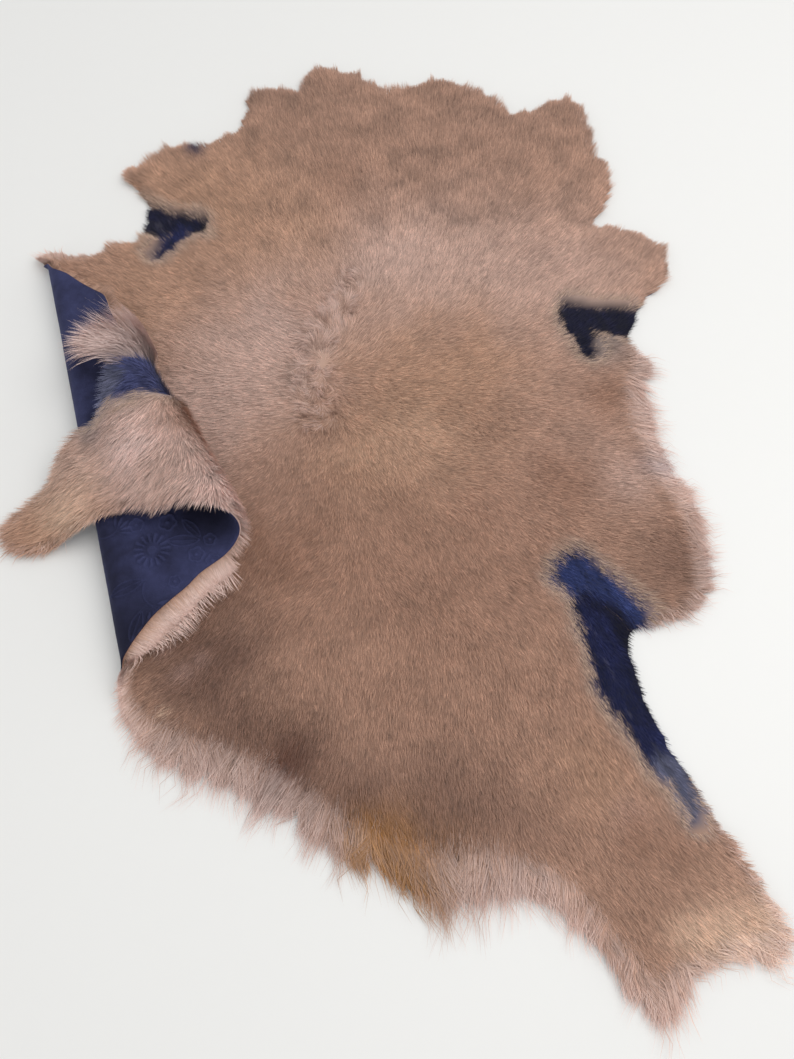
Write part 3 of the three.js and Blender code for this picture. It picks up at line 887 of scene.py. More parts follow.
class FlatSkin:
    """The hide laid out flat, with what each of its points takes from the cut edge."""

    def __init__(self):
        self.rim, rim_outward = ragged_rim()
        self.points = np.vstack([self.rim[:, :2], inner_points(self.rim)])
        self.triangles = flat_triangles(self.points, len(self.rim))
        self.rim_away, nearest = rim_distance(self.points, self.rim)
        self.hair = self.rim[nearest, 2]
        self.outward = rim_outward[nearest]
        self.depth = wool_depth(self.points, self.rim_away)


def fur_colour(flat):
    """The hair's own colour over the flat hide."""
    stray = FUR_SPOT_WANDER * wander(flat, 0.028, 21)
    colour = np.tile(COLOURS["fawn"], (len(flat), 1))
    for x, y, reach, strength, name in FUR_SPOTS:
        spot = flat + stray * min(1.0, reach / 0.05)
        away = np.hypot(spot[:, 0] - x, spot[:, 1] - y) / reach
        colour = mixed(colour, COLOURS[name], strength * np.exp(-(away**2)))
    distances = patch_distances(flat)
    smoke = SMOKE_SHARE * smooth(1 - distances.min(axis=0) / SMOKE_REACH)
    colour = mixed(colour, COLOURS["smoke"], smoke)
    for away, patch in zip(distances, DYED_PATCHES):
        colour = mixed(colour, COLOURS[patch[-1]], smooth(0.5 - away / DYED_BORDER))
    return colour * FUR_GAIN


def new_piece(name, points, triangles, materials, face_materials=None):
    """A smooth mesh object in the scene, from arrays of points and triangles."""
    points = points - np.array([HIDE_MIDDLE[0], HIDE_MIDDLE[1], 0.0])
    mesh = bpy.data.meshes.new(name)
    mesh.vertices.add(len(points))
    mesh.vertices.foreach_set("co", points.astype(np.float32).ravel())
    mesh.loops.add(3 * len(triangles))
    mesh.loops.foreach_set("vertex_index", triangles.astype(np.int32).ravel())
    mesh.polygons.add(len(triangles))
    mesh.polygons.foreach_set("loop_start", np.arange(0, 3 * len(triangles), 3, dtype=np.int32))
    mesh.polygons.foreach_set("use_smooth", np.ones(len(triangles), dtype=bool))
    for material in materials:
        mesh.materials.append(material)
    if face_materials is not None:
        mesh.polygons.foreach_set("material_index", face_materials.astype(np.int32))
    mesh.update(calc_edges=True)
    piece = bpy.data.objects.new(name, mesh)
    bpy.context.scene.collection.objects.link(piece)
    return piece


def give_colours(piece, name, colours):
    """A colour for each point of the piece."""
    attribute = piece.data.color_attributes.new(name=name, type="FLOAT_COLOR", domain="POINT")
    rgba = np.column_stack([colours, np.ones(len(colours))]).astype(np.float32)
    attribute.data.foreach_set("color", rgba.ravel())


def give_values(piece, name, values):
    """A value for each point of the piece."""
    attribute = piece.data.attributes.new(name=name, type="FLOAT", domain="POINT")
    attribute.data.foreach_set("value", values.astype(np.float32))


def give_map(piece, corners):
    """The piece's picture map: a place in the unit square for each corner of each triangle."""
    layer = piece.data.uv_layers.new(name="OFBake")
    layer.data.foreach_set("uv", corners.astype(np.float32).ravel())


def open_edges(triangles):
    """Edges that only one triangle has, each run the way its triangle runs."""
    edges = np.vstack([triangles[:, [0, 1]], triangles[:, [1, 2]], triangles[:, [2, 0]]])
    low, high = edges.min(axis=1), edges.max(axis=1)
    keys = low.astype(np.int64) * (triangles.max() + 1) + high
    _, first, count = np.unique(keys, return_index=True, return_counts=True)
    return edges[first[count == 1]]


def hide_map(flat, faces, face_chart):
    """The charts side by side, the flap's at its own larger scale."""
    low, high = flat.min(axis=0), flat.max(axis=0)
    places = np.zeros((len(faces), 3, 2))
    for chart, (corner, size) in enumerate(MAP_CHARTS):
        chosen = face_chart == chart
        spots = flat[faces[chosen]]
        if chart == FLAP_CHART:
            low, high = spots.min(axis=(0, 1)), spots.max(axis=(0, 1))
        places[chosen] = (spots - low) / (high - low) * size + corner
    return places.reshape(-1, 2)


def flap_painted_shade(flat):
    """1 where shade is painted on the flap's leather: towards its tail end and along the fold's
    edge, with a painted shadow in the hollow under the leg.
    """
    along, across = FLANK.measure(flat)
    inward = across - FLANK.arc
    tail_end = smooth((along - 0.375 - 0.5 * inward) / 0.07)
    at_fold = 0.7 * smooth(1 - np.abs(inward + 0.010) / 0.014) * smooth((along - 0.30) / 0.05)
    # A painted shadow in the hollow under the leg.
    hollow = smooth(1.3 - np.hypot(along - 0.350, inward - 0.092) / 0.038)
    return np.maximum(np.maximum(tail_end, at_fold), hollow) * (across > 0.3 * FLANK.arc)


def closed_faces(triangles, count, rim_count):
    """The leather side, the cut edge and the wool side, joined; and which of them is wool."""
    edge_start, wool_start = count, count + rim_count
    start, end = open_edges(triangles).T
    parts = [
        triangles[:, [0, 2, 1]],
        np.column_stack([start, end, end + edge_start]),
        np.column_stack([start, end + edge_start, start + edge_start]),
        np.column_stack([start + edge_start, end + edge_start, end + wool_start]),
        np.column_stack([start + edge_start, end + wool_start, start + wool_start]),
        triangles + wool_start,
    ]
    is_wool = np.repeat([0, 0, 0, 1, 1, 1], [len(part) for part in parts])
    return np.vstack(parts), is_wool


def make_hide(skin, materials):
    """The whole hide as one closed sheet: leather side, cut edge and dense wool."""
    flat, count, rim_count = skin.points, len(skin.points), len(skin.rim)
    raised = stamped(flat)
    fur_side = fold_frame(flat)[2]
    place = folded(flat)
    on_flap = smooth(FLANK.measure(flat)[1] / FLANK.arc)
    sway = 0.0006 * on_flap * smooth_noise(flat, 0.036, 31)
    leather = place + fur_side * (sway - STAMP_HEIGHT * raised)[:, None]
    edge = place[:rim_count] + fur_side[:rim_count] * (LEATHER_THICK + sway[:rim_count])[:, None]
    wool = place + fur_side * (skin.depth + sway)[:, None]
    points = np.vstack([leather, edge, wool])
    points[:, 2] = np.maximum(points[:, 2], 0.0)
    faces, is_wool = closed_faces(skin.triangles, count, rim_count)
    piece = new_piece("sheepskin_hide", points, faces, materials, is_wool)
    all_flat = np.vstack([flat, flat[:rim_count], flat])
    # The wool takes the hair's colours, darkened as painted shade under the hair.
    give_colours(piece, "tint", WOOL_PAINTED_SHADE * fur_colour(all_flat))
    give_values(piece, "stamped", np.concatenate([raised, np.zeros(rim_count + count)]))
    # Painted shade on the flap's leather: darker towards its tail end and along the fold's edge,
    # and a painted shadow in the hollow under the leg.
    give_values(piece, "painted_shade", flap_painted_shade(all_flat))
    past_fold = FLANK.measure(all_flat[faces].mean(axis=1))[1] > 0
    leather_chart = np.where(past_fold, FLAP_CHART, BODY_CHART)
    give_map(piece, hide_map(all_flat, faces, np.where(is_wool == 1, WOOL_CHART, leather_chart)))
    return piece


def area_of(points, triangles):
    """The area of each triangle of the flat hide."""
    a, b, c = (points[triangles[:, k]] for k in range(3))
    ab, ac = b - a, c - a
    return 0.5 * np.abs(ab[:, 0] * ac[:, 1] - ab[:, 1] * ac[:, 0])


class Roots:
    """Random places over the flat hide where hairs grow, and what each takes from there."""

    def __init__(self, skin, weight, count, rng):
        share = area_of(skin.points, skin.triangles) * weight[skin.triangles].mean(axis=1)
        chosen = rng.choice(len(skin.triangles), size=count, p=share / share.sum())
        first, second = rng.random(count), rng.random(count)
        over = first + second > 1
        first[over], second[over] = 1 - first[over], 1 - second[over]
        parts = np.column_stack([1 - first - second, first, second])
        corners = skin.triangles[chosen]

        def taken(values):
            values = values.reshape(len(values), -1)
            found = sum(parts[:, k : k + 1] * values[corners[:, k]] for k in range(3))
            return found[:, 0] if found.shape[1] == 1 else found

        self.count = count
        self.flat = taken(skin.points)
        self.depth = taken(skin.depth)
        self.rim_away = taken(skin.rim_away)
        self.hair = taken(skin.hair)
        self.outward = taken(skin.outward)
        self.axes = fold_frame(self.flat)
        self.fur_side = self.axes[2]
        self.body = on_body(self.flat)
        self.past_leg = past_leg_fold(self.flat)
        self.bare = bareness(self.flat)
        self.rumple = near_stretches(self.flat, RUMPLE_STRETCHES)
        self.tuft = in_tuft(self.flat)


def turned(vectors, angle):
    """Flat vectors turned by an angle, or each by its own."""
    cos, sin = np.cos(angle), np.sin(angle)
    x, y = vectors[:, 0], vectors[:, 1]
    return np.column_stack([cos * x - sin * y, sin * x + cos * y])


def hair_flow(flat):
    """The way the hair lies on the flat hide, smoothed between the rows of its table."""
    flow = np.zeros_like(flat)
    for x, y, degrees in HAIR_WAYS:
        away = (flat[:, 0] - x) ** 2 + (flat[:, 1] - y) ** 2
        pull = 1 / (away + HAIR_WAY_BLEND**2) ** 2
        way = math.radians(degrees)
        flow += pull[:, None] * np.array([math.cos(way), math.sin(way)])
    wander = 0.22 * smooth_noise(flat, 0.070, 41) + 0.16 * smooth_noise(flat, 0.020, 42)
    rumple = near_stretches(flat, RUMPLE_STRETCHES)
    swirl = 2.4 * smooth(1.6 * rumple) * smooth_noise(flat, 0.012, 43)
    return turned(unit(flow), wander + swirl)


def in_tuft(flat):
    """1 at the root of the leg's tuft, 0 away from it."""
    on_leg = FLANK.measure(flat)[1] > FLANK.arc
    return on_leg * smooth(1.5 * near_stretches(flat, TUFT_STRETCHES))


def clump_middles(flat, cell, seed):
    """The middle of the clump that each place belongs to, on a loose grid."""
    rng = np.random.default_rng(seed)
    size = 512
    stray = rng.uniform(0.15, 0.85, (size, size, 2))
    low = np.floor(flat / cell).astype(int)
    best = np.full(len(flat), np.inf)
    found = np.zeros_like(flat)
    for dx in (-1, 0, 1):
        for dy in (-1, 0, 1):
            corner = low + [dx, dy]
            spot = (corner + stray[corner[:, 0] % size, corner[:, 1] % size]) * cell
            away = np.linalg.norm(flat - spot, axis=1)
            closer = away < best
            best[closer] = away[closer]
            found[closer] = spot[closer]
    return found


def pile_weight(skin):
    """How densely the short hair grows, thinner where it is bare or hidden by the flap."""
    along, across = FLANK.measure(skin.points)
    under_flap = (along > 0.02) & (along < 0.45) & (across > -0.040) & (across < FLANK.arc)
    before_leg = past_leg_fold(skin.points) < -0.060
    flap = (across >= FLANK.arc) & before_leg & (skin.rim_away > 0.025)
    weight = np.where(under_flap | flap, HIDDEN_SHARE, 1.0)
    weight = weight * (1 - DYED_THINNING * bareness(skin.points))
    return weight * (1 - 0.5 * in_tuft(skin.points))


def past_leg_fold(points):
    """How far points lie past the start of the leg's fold on the flat hide, -1 on the body."""
    along, across = FLANK.measure(points)
    on_flap = FLANK.point(along, FLANK.arc - across)
    return np.where(across >= FLANK.arc, LEG.measure(on_flap)[1], -1.0)


def cell_map(places, shape):
    """Gives each hair a small cell of the picture map, with neighbours side by side."""
    count = len(places)
    side = int(math.ceil(math.sqrt(count)))
    row = np.argsort(np.argsort(places[:, 1])) // side
    order = np.lexsort((places[:, 0], row))
    cell = np.empty(count, dtype=int)
    cell[order] = np.arange(count)
    corner = np.column_stack([cell % side, cell // side])
    return (corner[:, None, :] + shape[None, :, :]) / side


def hair_piece(name, roots, rows, faces, colours, side, way, own_share, shape, material):
    """A piece of many hairs alike, lit in part as themselves and in part as the hide."""
    each = len(rows)
    points = np.stack(rows, axis=1).reshape(-1, 3)
    points[:, 2] = np.maximum(points[:, 2], HAIR_OFF_FLOOR)
    triangles = (each * np.arange(roots.count)[:, None, None] + faces[None]).reshape(-1, 3)
    piece = new_piece(name, points, triangles, [material])
    give_colours(piece, "tint", np.stack(colours, axis=1).reshape(-1, 3))
    normal = unit(np.cross(side, way))
    normal *= np.sign(np.sum(normal * roots.fur_side, axis=1, keepdims=True))
    normal = unit(own_share * normal + (1 - own_share) * roots.fur_side)
    piece.data.normals_split_custom_set_from_vertices(np.repeat(normal, each, axis=0))
    give_map(piece, cell_map(roots.flat, shape[faces.ravel()]).reshape(-1, 2))
    return piece


def short_ways(roots, rng):
    """Which way each short hair points: along the hair's lie, and up by its lean."""
    flow = turned(hair_flow(roots.flat), rng.normal(0, PILE_WAY_SPREAD, roots.count))
    to_rim = 0.7 * smooth(1 - roots.rim_away / 0.010)
    flow = unit(flow + to_rim[:, None] * roots.outward)
    rise = PILE_LEAN + 0.08 * smooth_noise(roots.flat, 0.022, 51)
    rise = rise + rng.normal(0, PILE_LEAN_SPREAD, roots.count)
    rise += 0.45 * roots.rumple * rng.random(roots.count)
    heading = unit(into_space(flow, roots.axes))
    return heading * np.cos(rise)[:, None] + roots.fur_side * np.sin(rise)[:, None]


def short_lengths(roots, rng):
    """How long each short hair is: shorter in the dyed patches, longer on the leg."""
    length = PILE_LENGTH * rng.uniform(*PILE_LENGTHS, roots.count)
    length *= 1 - 0.35 * roots.bare
    length *= 1 + 0.3 * roots.rumple
    at_rim = smooth(1 - roots.rim_away / RIM_TUFTS) * roots.body * (1 - roots.bare)
    tufts = np.maximum(smooth_noise(roots.flat, 0.011, 57), -0.3)
    length *= 1 - 0.15 * at_rim + 0.9 * at_rim * tufts
    return length * (1 + 0.4 * (roots.past_leg > 0))


def short_colours(roots, clumps, locks, tangled, rng):
    """Each short hair's colour over its length, and at its tip."""
    flat, bare = roots.flat, roots.bare
    strayed = flat + rng.normal(0, 0.0025, flat.shape)
    colour = fur_colour(strayed) * pile_shade(flat, clumps, rng)[:, None]
    streaked = turned(flat, STREAK_TURN)
    colour *= (1 + 0.5 * bare * smooth_noise(streaked * [1.0, 0.35], 0.006, 56))[:, None]
    slate_hair = bare * smooth(1.6 * smooth_noise(streaked * [1.0, 0.3], 0.005, 55) - 0.7)
    colour = mixed(colour, COLOURS["slate"], 0.25 * slate_hair)
    at_border = smooth(1.4 - np.abs(patch_away(flat) - 0.002) / 0.008)
    border_hair = at_border * (rng.random(roots.count) < BORDER_HAIR_SHARE)
    colour = mixed(colour, 1.2 * COLOURS["cream"], 0.8 * border_hair)
    # Painted light and shade on the tousled locks along the shoulder: a painted highlight at each
    # lock's middle and painted shade, in umber, in the gaps between them.
    from_lock = np.linalg.norm(locks - flat, axis=1) / RUMPLE_LOCK
    lock_highlight = 0.40 * smooth(1.5 * roots.rumple) * smooth(1.6 - 3 * from_lock)
    colour = mixed(colour, PALE_HAIR, lock_highlight)
    gap = 0.55 * smooth(1.8 * tangled) * smooth(5 * from_lock - 2.4)
    colour = mixed(colour, COLOURS["umber"] * FUR_GAIN, gap)
    tips = colour * 1.06 + 0.07 * (COLOURS["blush"] - colour) * (1 - bare)[:, None]
    pale = 0.35 * smooth(roots.hair / 0.020) * smooth(1 - roots.rim_away / 0.016) * (1 - bare)
    return colour, mixed(tips, PALE_HAIR, pale)


def short_pile(name, skin, material, rng):
    """One piece of short hair: a slim triangle for each hair, leaning the way it lies."""
    roots = Roots(skin, pile_weight(skin), BLADES_EACH, rng)
    way = short_ways(roots, rng)
    length = short_lengths(roots, rng)
    clumps = clump_middles(roots.flat, PILE_CLUMP, 52)
    locks = clump_middles(roots.flat, RUMPLE_LOCK, 53)
    tangled = roots.rumple * smooth(0.6 + 0.9 * smooth_noise(roots.flat, 0.015, 54))
    start = folded(roots.flat) + roots.fur_side * (PILE_ROOTED * roots.depth)[:, None]
    tip = start + way * length[:, None]
    tip += 0.25 * into_space(clumps - roots.flat, roots.axes)
    tip += (0.38 * tangled)[:, None] * into_space(locks - roots.flat, roots.axes)
    roll = np.clip(rng.normal(0, 0.35, roots.count), -1.0, 1.0)[:, None]
    flat_side = unit(np.cross(way, roots.fur_side))
    side = flat_side * np.cos(roll) + np.cross(way, flat_side) * np.sin(roll)
    half = 0.5 * BLADE_WIDTH * rng.uniform(*BLADE_WIDTHS, roots.count)[:, None]
    rows = [start - side * half, start + side * half, tip]
    colour, tips = short_colours(roots, clumps, locks, tangled, rng)
    # Painted shade at the hairs' roots, deep in the pile.
    colours = [PILE_ROOT_SHADE * colour, PILE_ROOT_SHADE * colour, tips]
    return hair_piece(
        name, roots, rows, BLADE_FACES, colours, side, way, 0.45, BLADE_SHAPE, material)


def pile_shade(roots, middle, rng):
    """Light and dark from hair to hair, from clump to clump and over whole patches."""
    single = rng.normal(0, 0.24, len(roots))
    clump = 0.15 * smooth_noise(middle, 0.0017, 61)
    patch = 0.05 * smooth_noise(roots, 0.035, 62) + 0.07 * smooth_noise(roots, 0.009, 63)
    at_neck = smooth((roots[:, 1] - 0.56) / 0.12)
    brushed = 0.20 * smooth_noise(roots * [0.8, 1.0], 0.017, 64) * at_neck
    return np.clip(1 + single + clump + patch + brushed, 0.4, 1.8)


def long_hair_weight(skin):
    """How densely the long hair grows: along the rim, at the tail and in the leg's tuft."""
    body = on_body(skin.points) > 0
    band = np.clip(1.1 * skin.hair, *LONG_BAND)
    band = np.where(body, band, np.minimum(band, FLAP_BAND))
    weight = smooth(1.4 * (1 - skin.rim_away / band)) * smooth((skin.hair - 0.005) / 0.006)
    weight = weight * (0.35 + 0.65 * smooth((skin.hair - 0.012) / 0.012))
    past_fold = past_leg_fold(skin.points)
    weight = weight * np.where(past_fold > LEG.arc, 0.5, np.where(body, 1.0, 3.5))
    weight = weight * smooth((np.abs(past_fold - 0.5 * LEG.arc) - 0.030) / 0.012)
    return weight + TUFT_DENSITY * in_tuft(skin.points) + 1e-9


def long_headings(roots, locks, rng):
    """Which way each long hair runs on the flat hide, between its lie and straight out."""
    flapping = 1 - roots.body
    outward = ((0.34 + 0.3 * flapping) * (1 - roots.tuft))[:, None] * unit(roots.outward)
    heading = unit(outward + 0.8 * hair_flow(roots.flat))
    lock_turn = 0.24 * smooth_noise(locks, 0.030, 74) + 0.10 * smooth_noise(locks, 0.009, 77)
    stray = rng.normal(0, 1, roots.count) * (0.06 + 0.10 * flapping)
    return turned(heading, lock_turn * roots.body + stray)


def long_lengths(roots, locks, rng):
    """How long each long hair is, and which of them are wisps that stray far out."""
    grown = 0.30 + 0.85 * rng.beta(2.0, 1.8, roots.count)
    on_leg = (roots.past_leg > LEG.arc) & (roots.tuft < 0.05)
    calm = rng.uniform(0.75, 1.0, roots.count) * np.where(on_leg, 0.45, 1.0)
    grown = np.where(roots.body > 0, grown, calm)
    wisp = rng.random(roots.count) < WISP_SHARE
    grown = np.where(wisp, WISP_LENGTH * rng.uniform(0.6, 1.1, roots.count), grown)
    lock_length = 1 + 0.20 * smooth_noise(locks, 0.009, 73) * roots.body
    length = roots.rim_away + roots.hair * grown * lock_length
    length += roots.tuft * (TUFT_LENGTH * rng.uniform(0.5, 1.1, roots.count) - length)
    return length, wisp


def gathering(roots):
    """How far each long hair's tip is drawn to the middle of its lock."""
    gather = (0.06 + 0.42 * smooth((roots.hair - 0.018) / 0.014)) * roots.body
    gather += 0.40 * smooth((roots.flat[:, 0] - 0.25) / 0.03) * roots.body
    return gather + roots.tuft * (TUFT_GATHER - gather)


def long_sections(roots, locks, strands, heading, length, rng):
    """The points along each long hair's middle line, from its root to its tip."""
    lock_bow = 0.20 * smooth_noise(locks, 0.009, 72) + 0.22 * smooth_noise(locks, 0.030, 78)
    wave = rng.normal(0, 0.04, roots.count) + lock_bow * roots.body
    curl = 0.20 * smooth_noise(locks, 0.014, 76) * roots.body
    lift = rng.uniform(0.0005, 0.0045, roots.count) + 0.006 * roots.tuft
    gather = gathering(roots)
    side_way = turned(heading, math.pi / 2)
    root_height = 0.8 * roots.depth
    tip_height = 0.0016 + 0.4 * lift
    sections = []
    for share in LONG_SHARES:
        spot = roots.flat + heading * (length * share)[:, None]
        bow = wave * share**2 + curl * math.sin(math.tau * share)
        spot += side_way * (bow * length)[:, None]
        spot += (gather * share**1.5)[:, None] * (locks - roots.flat)
        spot += (0.60 * share * roots.body)[:, None] * (strands - roots.flat)
        height = root_height + 4 * lift * share * (1 - share)
        height = height + (tip_height - root_height) * smooth(share)
        sections.append(on_hide(spot, height))
    return sections


def long_colours(roots, locks, strands, wisp, rng):
    """Each long hair's colours in rows from its root to its tip."""
    tuft, flapping = roots.tuft, 1 - roots.body
    lock_shade = 0.14 * smooth_noise(locks, 0.0017, 75) + 0.34 * smooth_noise(strands, 0.0017, 80)
    lock_shade = 1 + lock_shade * (1 - 0.7 * flapping)
    shade = 1 + (pile_shade(roots.flat, locks, rng) - 1) * (0.55 - 0.2 * flapping * (1 - tuft))
    colour = fur_colour(roots.flat) * (shade * lock_shade)[:, None]
    colour = mixed(colour, 0.8 * PALE_HAIR, 0.85 * tuft)
    pale = np.clip(rng.normal(0.72, 0.25, roots.count) + 0.25 * tuft + 0.2 * wisp, 0, 1)
    from_golden = np.linalg.norm(roots.flat - GOLDEN_SPOT, axis=1) / GOLDEN_REACH
    tips = mixed(colour, PALE_HAIR, pale * (1 - 0.95 * np.exp(-(from_golden**2))))
    # Painted shade: each long hair is darker at its root and lightens towards its tip. This also
    # paints the shadow line along the top of the fringe.
    rows = [0.76 * colour] * 2
    for share in LONG_SHARES[1:-1]:
        rows += [colour * (0.80 + 0.20 * share) + share * (tips - colour)] * 2
    return [*rows, tips]


def long_hair(name, skin, material, rng):
    """The long hair at the rim, the tail and the leg's tuft, each hair bent in three."""
    roots = Roots(skin, long_hair_weight(skin), LONG_HAIRS, rng)
    locks = clump_middles(roots.flat, LOCK_CELL, 71)
    strands = clump_middles(roots.flat, STRAND_CELL, 79)
    heading = long_headings(roots, locks, rng)
    length, wisp = long_lengths(roots, locks, rng)
    sections = long_sections(roots, locks, strands, heading, length, rng)
    way = unit(sections[-1] - sections[0])
    side = unit(np.cross(way, roots.fur_side))
    widened = 1 + 0.5 * (1 - roots.body) * (1 - roots.tuft)
    half = 0.5 * (rng.uniform(*LONG_WIDTHS, roots.count) * widened)[:, None]
    rows = []
    for section, taper in zip(sections, LONG_TAPER):
        rows += [section - side * half * taper, section + side * half * taper]
    rows.append(sections[-1])
    colours = long_colours(roots, locks, strands, wisp, rng)
    return hair_piece(
        name, roots, rows, LONG_FACES, colours, side, way, 0.5, LONG_SHAPE, material)


# Materials.
def new_material(name):
    """A material with only a shader, its node tree and the shader."""
    material = bpy.data.materials.new(name)
    material.use_nodes = True
    tree = material.node_tree
    tree.nodes.clear()
    output = tree.nodes.new("ShaderNodeOutputMaterial")
    shader = tree.nodes.new("ShaderNodeBsdfPrincipled")
    tree.links.new(shader.outputs["BSDF"], output.inputs["Surface"])
    return material, tree, shader


def new_group(name, inputs, outputs):
    """A node group with named sockets. Each is a name, a socket type and, for inputs, a value."""
    group = bpy.data.node_groups.new(name, "ShaderNodeTree")
    for label, kind, value in inputs:
        socket = group.interface.new_socket(name=label, in_out="INPUT", socket_type=kind)
        socket.default_value = value
    for label, kind in outputs:
        group.interface.new_socket(name=label, in_out="OUTPUT", socket_type=kind)
    return group, group.nodes.new("NodeGroupInput"), group.nodes.new("NodeGroupOutput")


def math_node(tree, operation, first, second):
    """A math node on two values, each a number or another node's output."""
    node = tree.nodes.new("ShaderNodeMath")
    node.operation = operation
    for socket, value in zip(node.inputs, (first, second)):
        if isinstance(value, (int, float)):
            socket.default_value = value
        else:
            tree.links.new(value, socket)
    return node.outputs["Value"]


def noise_node(tree, scale, detail):
    """A noise pattern over the object, with a scale that is a number or another output."""
    place = tree.nodes.new("ShaderNodeTexCoord")
    noise = tree.nodes.new("ShaderNodeTexNoise")
    noise.inputs["Detail"].default_value = detail
    tree.links.new(place.outputs["Object"], noise.inputs["Vector"])
    if isinstance(scale, (int, float)):
        noise.inputs["Scale"].default_value = scale
    else:
        tree.links.new(scale, noise.inputs["Scale"])
    return noise.outputs["Fac"]


def colour_ramp(tree, value, stops):
    """A colour for each value, blended between stops of a value and a colour."""
    node = tree.nodes.new("ShaderNodeValToRGB")
    while len(node.color_ramp.elements) < len(stops):
        node.color_ramp.elements.new(0.5)
    for element, (place, colour) in zip(node.color_ramp.elements, stops):
        element.position = place
        element.color = (*colour, 1.0)
    tree.links.new(value, node.inputs["Fac"])
    return node.outputs["Color"]


def speckle_group():
    """Lightens and darkens a colour in fine specks and in broad patches."""
    group, source, result = new_group(
        "speckle",
        [
            ("Colour", "NodeSocketColor", (0.5, 0.5, 0.5, 1.0)),
            ("Speck scale", "NodeSocketFloat", 900.0),
            ("Speck share", "NodeSocketFloat", 0.2),
            ("Patch scale", "NodeSocketFloat", 30.0),
            ("Patch share", "NodeSocketFloat", 0.2),
        ],
        [("Colour", "NodeSocketColor"), ("Speck", "NodeSocketFloat")],
    )
    noises, parts = [], []
    for part, detail in (("Speck", 2.0), ("Patch", 3.0)):
        noises.append(noise_node(group, source.outputs[f"{part} scale"], detail))
        centred = math_node(group, "SUBTRACT", noises[-1], 0.5)
        parts.append(math_node(group, "MULTIPLY", centred, source.outputs[f"{part} share"]))
    amount = math_node(group, "ADD", math_node(group, "ADD", *parts), 1.0)
    scaled = group.nodes.new("ShaderNodeVectorMath")
    scaled.operation = "SCALE"
    group.links.new(source.outputs["Colour"], scaled.inputs["Vector"])
    group.links.new(amount, scaled.inputs["Scale"])
    group.links.new(scaled.outputs["Vector"], result.inputs["Colour"])
    group.links.new(noises[0], result.inputs["Speck"])
    return group


def set_sockets(node, **values):
    """Sets a node's sockets by name, with an underscore for each space."""
    for label, value in values.items():
        node.inputs[label.replace("_", " ")].default_value = value


def speckled(tree, shader, speckle, **values):
    """Colours a shader through the speckle group, placed with its own values."""
    node = tree.nodes.new("ShaderNodeGroup")
    node.node_tree = speckle
    set_sockets(node, **values)
    tree.links.new(node.outputs["Colour"], shader.inputs["Base Color"])
    return node


def attribute_node(tree, name):
    """A node that reads a colour or a value that the mesh carries."""
    node = tree.nodes.new("ShaderNodeAttribute")
    node.attribute_name = name
    return node


def mix_node(tree, share, ground, colour):
    """A colour from another node, mixed by a share with a fixed colour."""
    node = tree.nodes.new("ShaderNodeMix")
    node.data_type = "RGBA"
    tree.links.new(share, node.inputs["Factor"])
    tree.links.new(ground, node.inputs["A"])
    node.inputs["B"].default_value = (*colour, 1.0)
    return node.outputs["Result"]


def fur_material(name, speckle, roughness, sheen):
    """Hair or wool in the colours that its mesh carries."""
    material, tree, shader = new_material(name)
    specks = speckled(
        tree, shader, speckle,
        Speck_scale=1400.0, Speck_share=0.35, Patch_scale=45.0, Patch_share=0.25)
    tree.links.new(attribute_node(tree, "tint").outputs["Color"], specks.inputs["Colour"])
    set_sockets(
        shader, Roughness=roughness, Specular_IOR_Level=0.25,
        Sheen_Weight=sheen, Sheen_Roughness=0.5)
    return material


def leather_material(speckle):
    """Dark blue suede, with painted shade where the flap's leather is darkened and painted
    highlights where the flowers stand up.
    """
    material, tree, shader = new_material("leather")
    napped = colour_ramp(tree, noise_node(tree, 26.0, 5.0), [
        (0.30, COLOURS["suede_dark"]), (0.50, COLOURS["suede"]), (0.78, COLOURS["suede_light"])])
    # Painted shade: the flap's leather is darkened towards its tail end and along the fold's edge,
    # and a painted shadow is put in the hollow under the leg.
    painted_shade = attribute_node(tree, "painted_shade").outputs["Fac"]
    ground = mix_node(tree, painted_shade, napped, 0.8 * COLOURS["suede_dark"])
    # Painted highlights: the leather is painted paler where the flowers stand up.
    raised = math_node(tree, "MULTIPLY", attribute_node(tree, "stamped").outputs["Fac"], 0.30)
    flowered = mix_node(tree, raised, ground, 1.25 * COLOURS["suede_light"])
    specks = speckled(
        tree, shader, speckle,
        Speck_scale=1500.0, Speck_share=0.8, Patch_scale=120.0, Patch_share=0.6)
    tree.links.new(flowered, specks.inputs["Colour"])
    bump = tree.nodes.new("ShaderNodeBump")
    set_sockets(bump, Strength=0.35, Distance=0.0005)
    tree.links.new(specks.outputs["Speck"], bump.inputs["Height"])
    tree.links.new(bump.outputs["Normal"], shader.inputs["Normal"])
    set_sockets(
        shader, Roughness=0.88, Specular_IOR_Level=0.15,
        Sheen_Weight=0.12, Sheen_Roughness=0.4, Sheen_Tint=(0.45, 0.48, 0.80, 1.0))
    return material


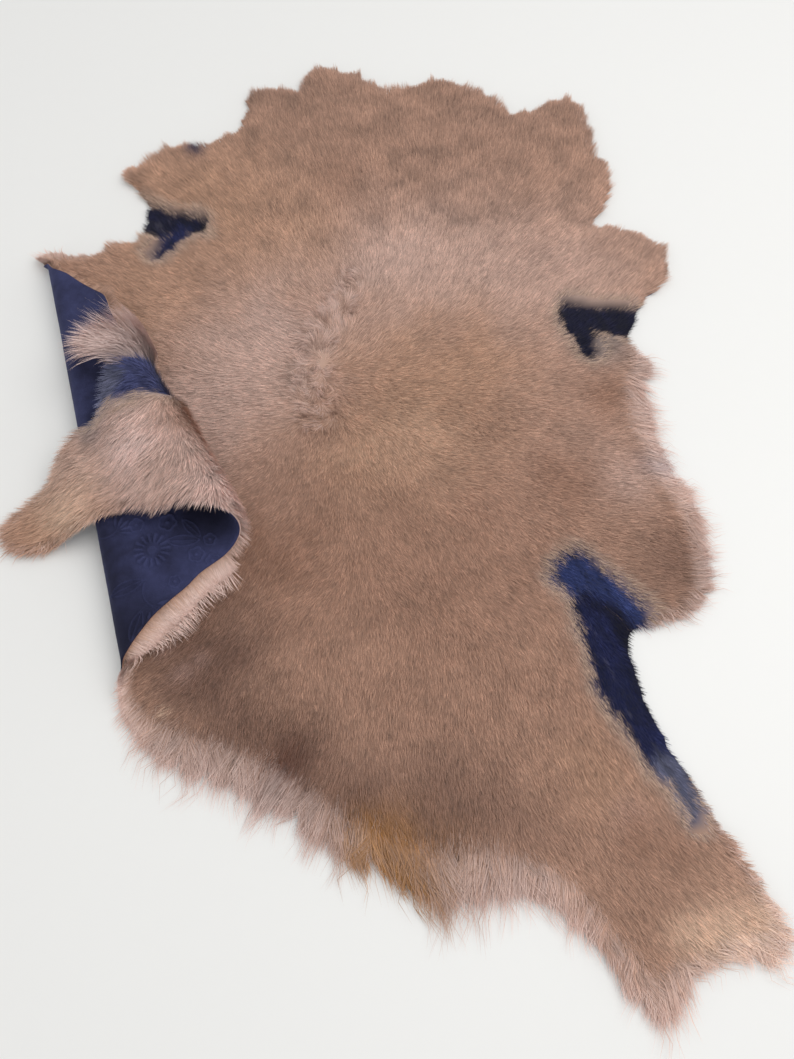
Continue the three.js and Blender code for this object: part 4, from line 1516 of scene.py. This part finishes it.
def floor_material(speckle):
    """A plain white floor with a trace of unevenness."""
    material, tree, shader = new_material("white_floor")
    speckled(
        tree, shader, speckle, Colour=(0.84, 0.84, 0.83, 1.0),
        Speck_scale=60.0, Speck_share=0.01, Patch_scale=0.8, Patch_share=0.05)
    set_sockets(shader, Roughness=0.45, Specular_IOR_Level=0.3)
    return material


# The stage, its light and the camera.
def make_floor(speckle):
    """The white surface under the hide."""
    signs = np.array([[-1, -1], [1, -1], [1, 1], [-1, 1]])
    corners = np.column_stack([FLOOR_HALF * signs, np.full(4, -FLOOR_DROP)])
    floor = new_piece("floor", corners, np.array([[0, 1, 2], [0, 2, 3]]), [floor_material(speckle)])


def make_window():
    """A large soft light to the right of the hide."""
    data = bpy.data.lights.new("window", "AREA")
    data.shape = "DISK"
    data.size = WINDOW_SIZE
    data.energy = WINDOW_POWER
    data.color = WINDOW_COLOUR
    light = bpy.data.objects.new("window", data)
    light.location = WINDOW_PLACE
    way = Vector(WINDOW_TARGET) - Vector(WINDOW_PLACE)
    light.rotation_euler = way.to_track_quat("-Z", "Y").to_euler()
    bpy.context.scene.collection.objects.link(light)


def make_world():
    """The even light of the room."""
    world = bpy.data.worlds.new("room")
    world.use_nodes = True
    background = world.node_tree.nodes["Background"]
    set_sockets(background, Color=(*WORLD_COLOUR, 1.0), Strength=WORLD_STRENGTH)
    bpy.context.scene.world = world


def make_camera():
    """The camera at the photograph's height and tilt."""
    data = bpy.data.cameras.new("camera")
    data.lens = CAMERA_LENS
    camera = bpy.data.objects.new("camera", data)
    camera.location = CAMERA_PLACE
    camera.rotation_euler = (CAMERA_TILT, 0.0, 0.0)
    bpy.context.scene.collection.objects.link(camera)
    bpy.context.scene.camera = camera


bpy.context.scene.view_settings.view_transform = "Standard"
make_camera()
speckle = speckle_group()
leather = leather_material(speckle)
wool = fur_material("wool", speckle, 0.95, 0.05)
fur = fur_material("fur", speckle, 0.62, 0.10)

skin = FlatSkin()
hide = make_hide(skin, [leather, wool])
rng = np.random.default_rng(HAIR_SEED)
pile = [short_pile(name, skin, fur, rng) for name in PILE_PIECES]
fringe = long_hair("long_hair", skin, fur, rng)

make_floor(speckle)
make_world()
make_window()

for piece in [hide, *pile, fringe]:
    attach(piece, "root")
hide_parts("sheepskin")

bpy.context.view_layer.update()
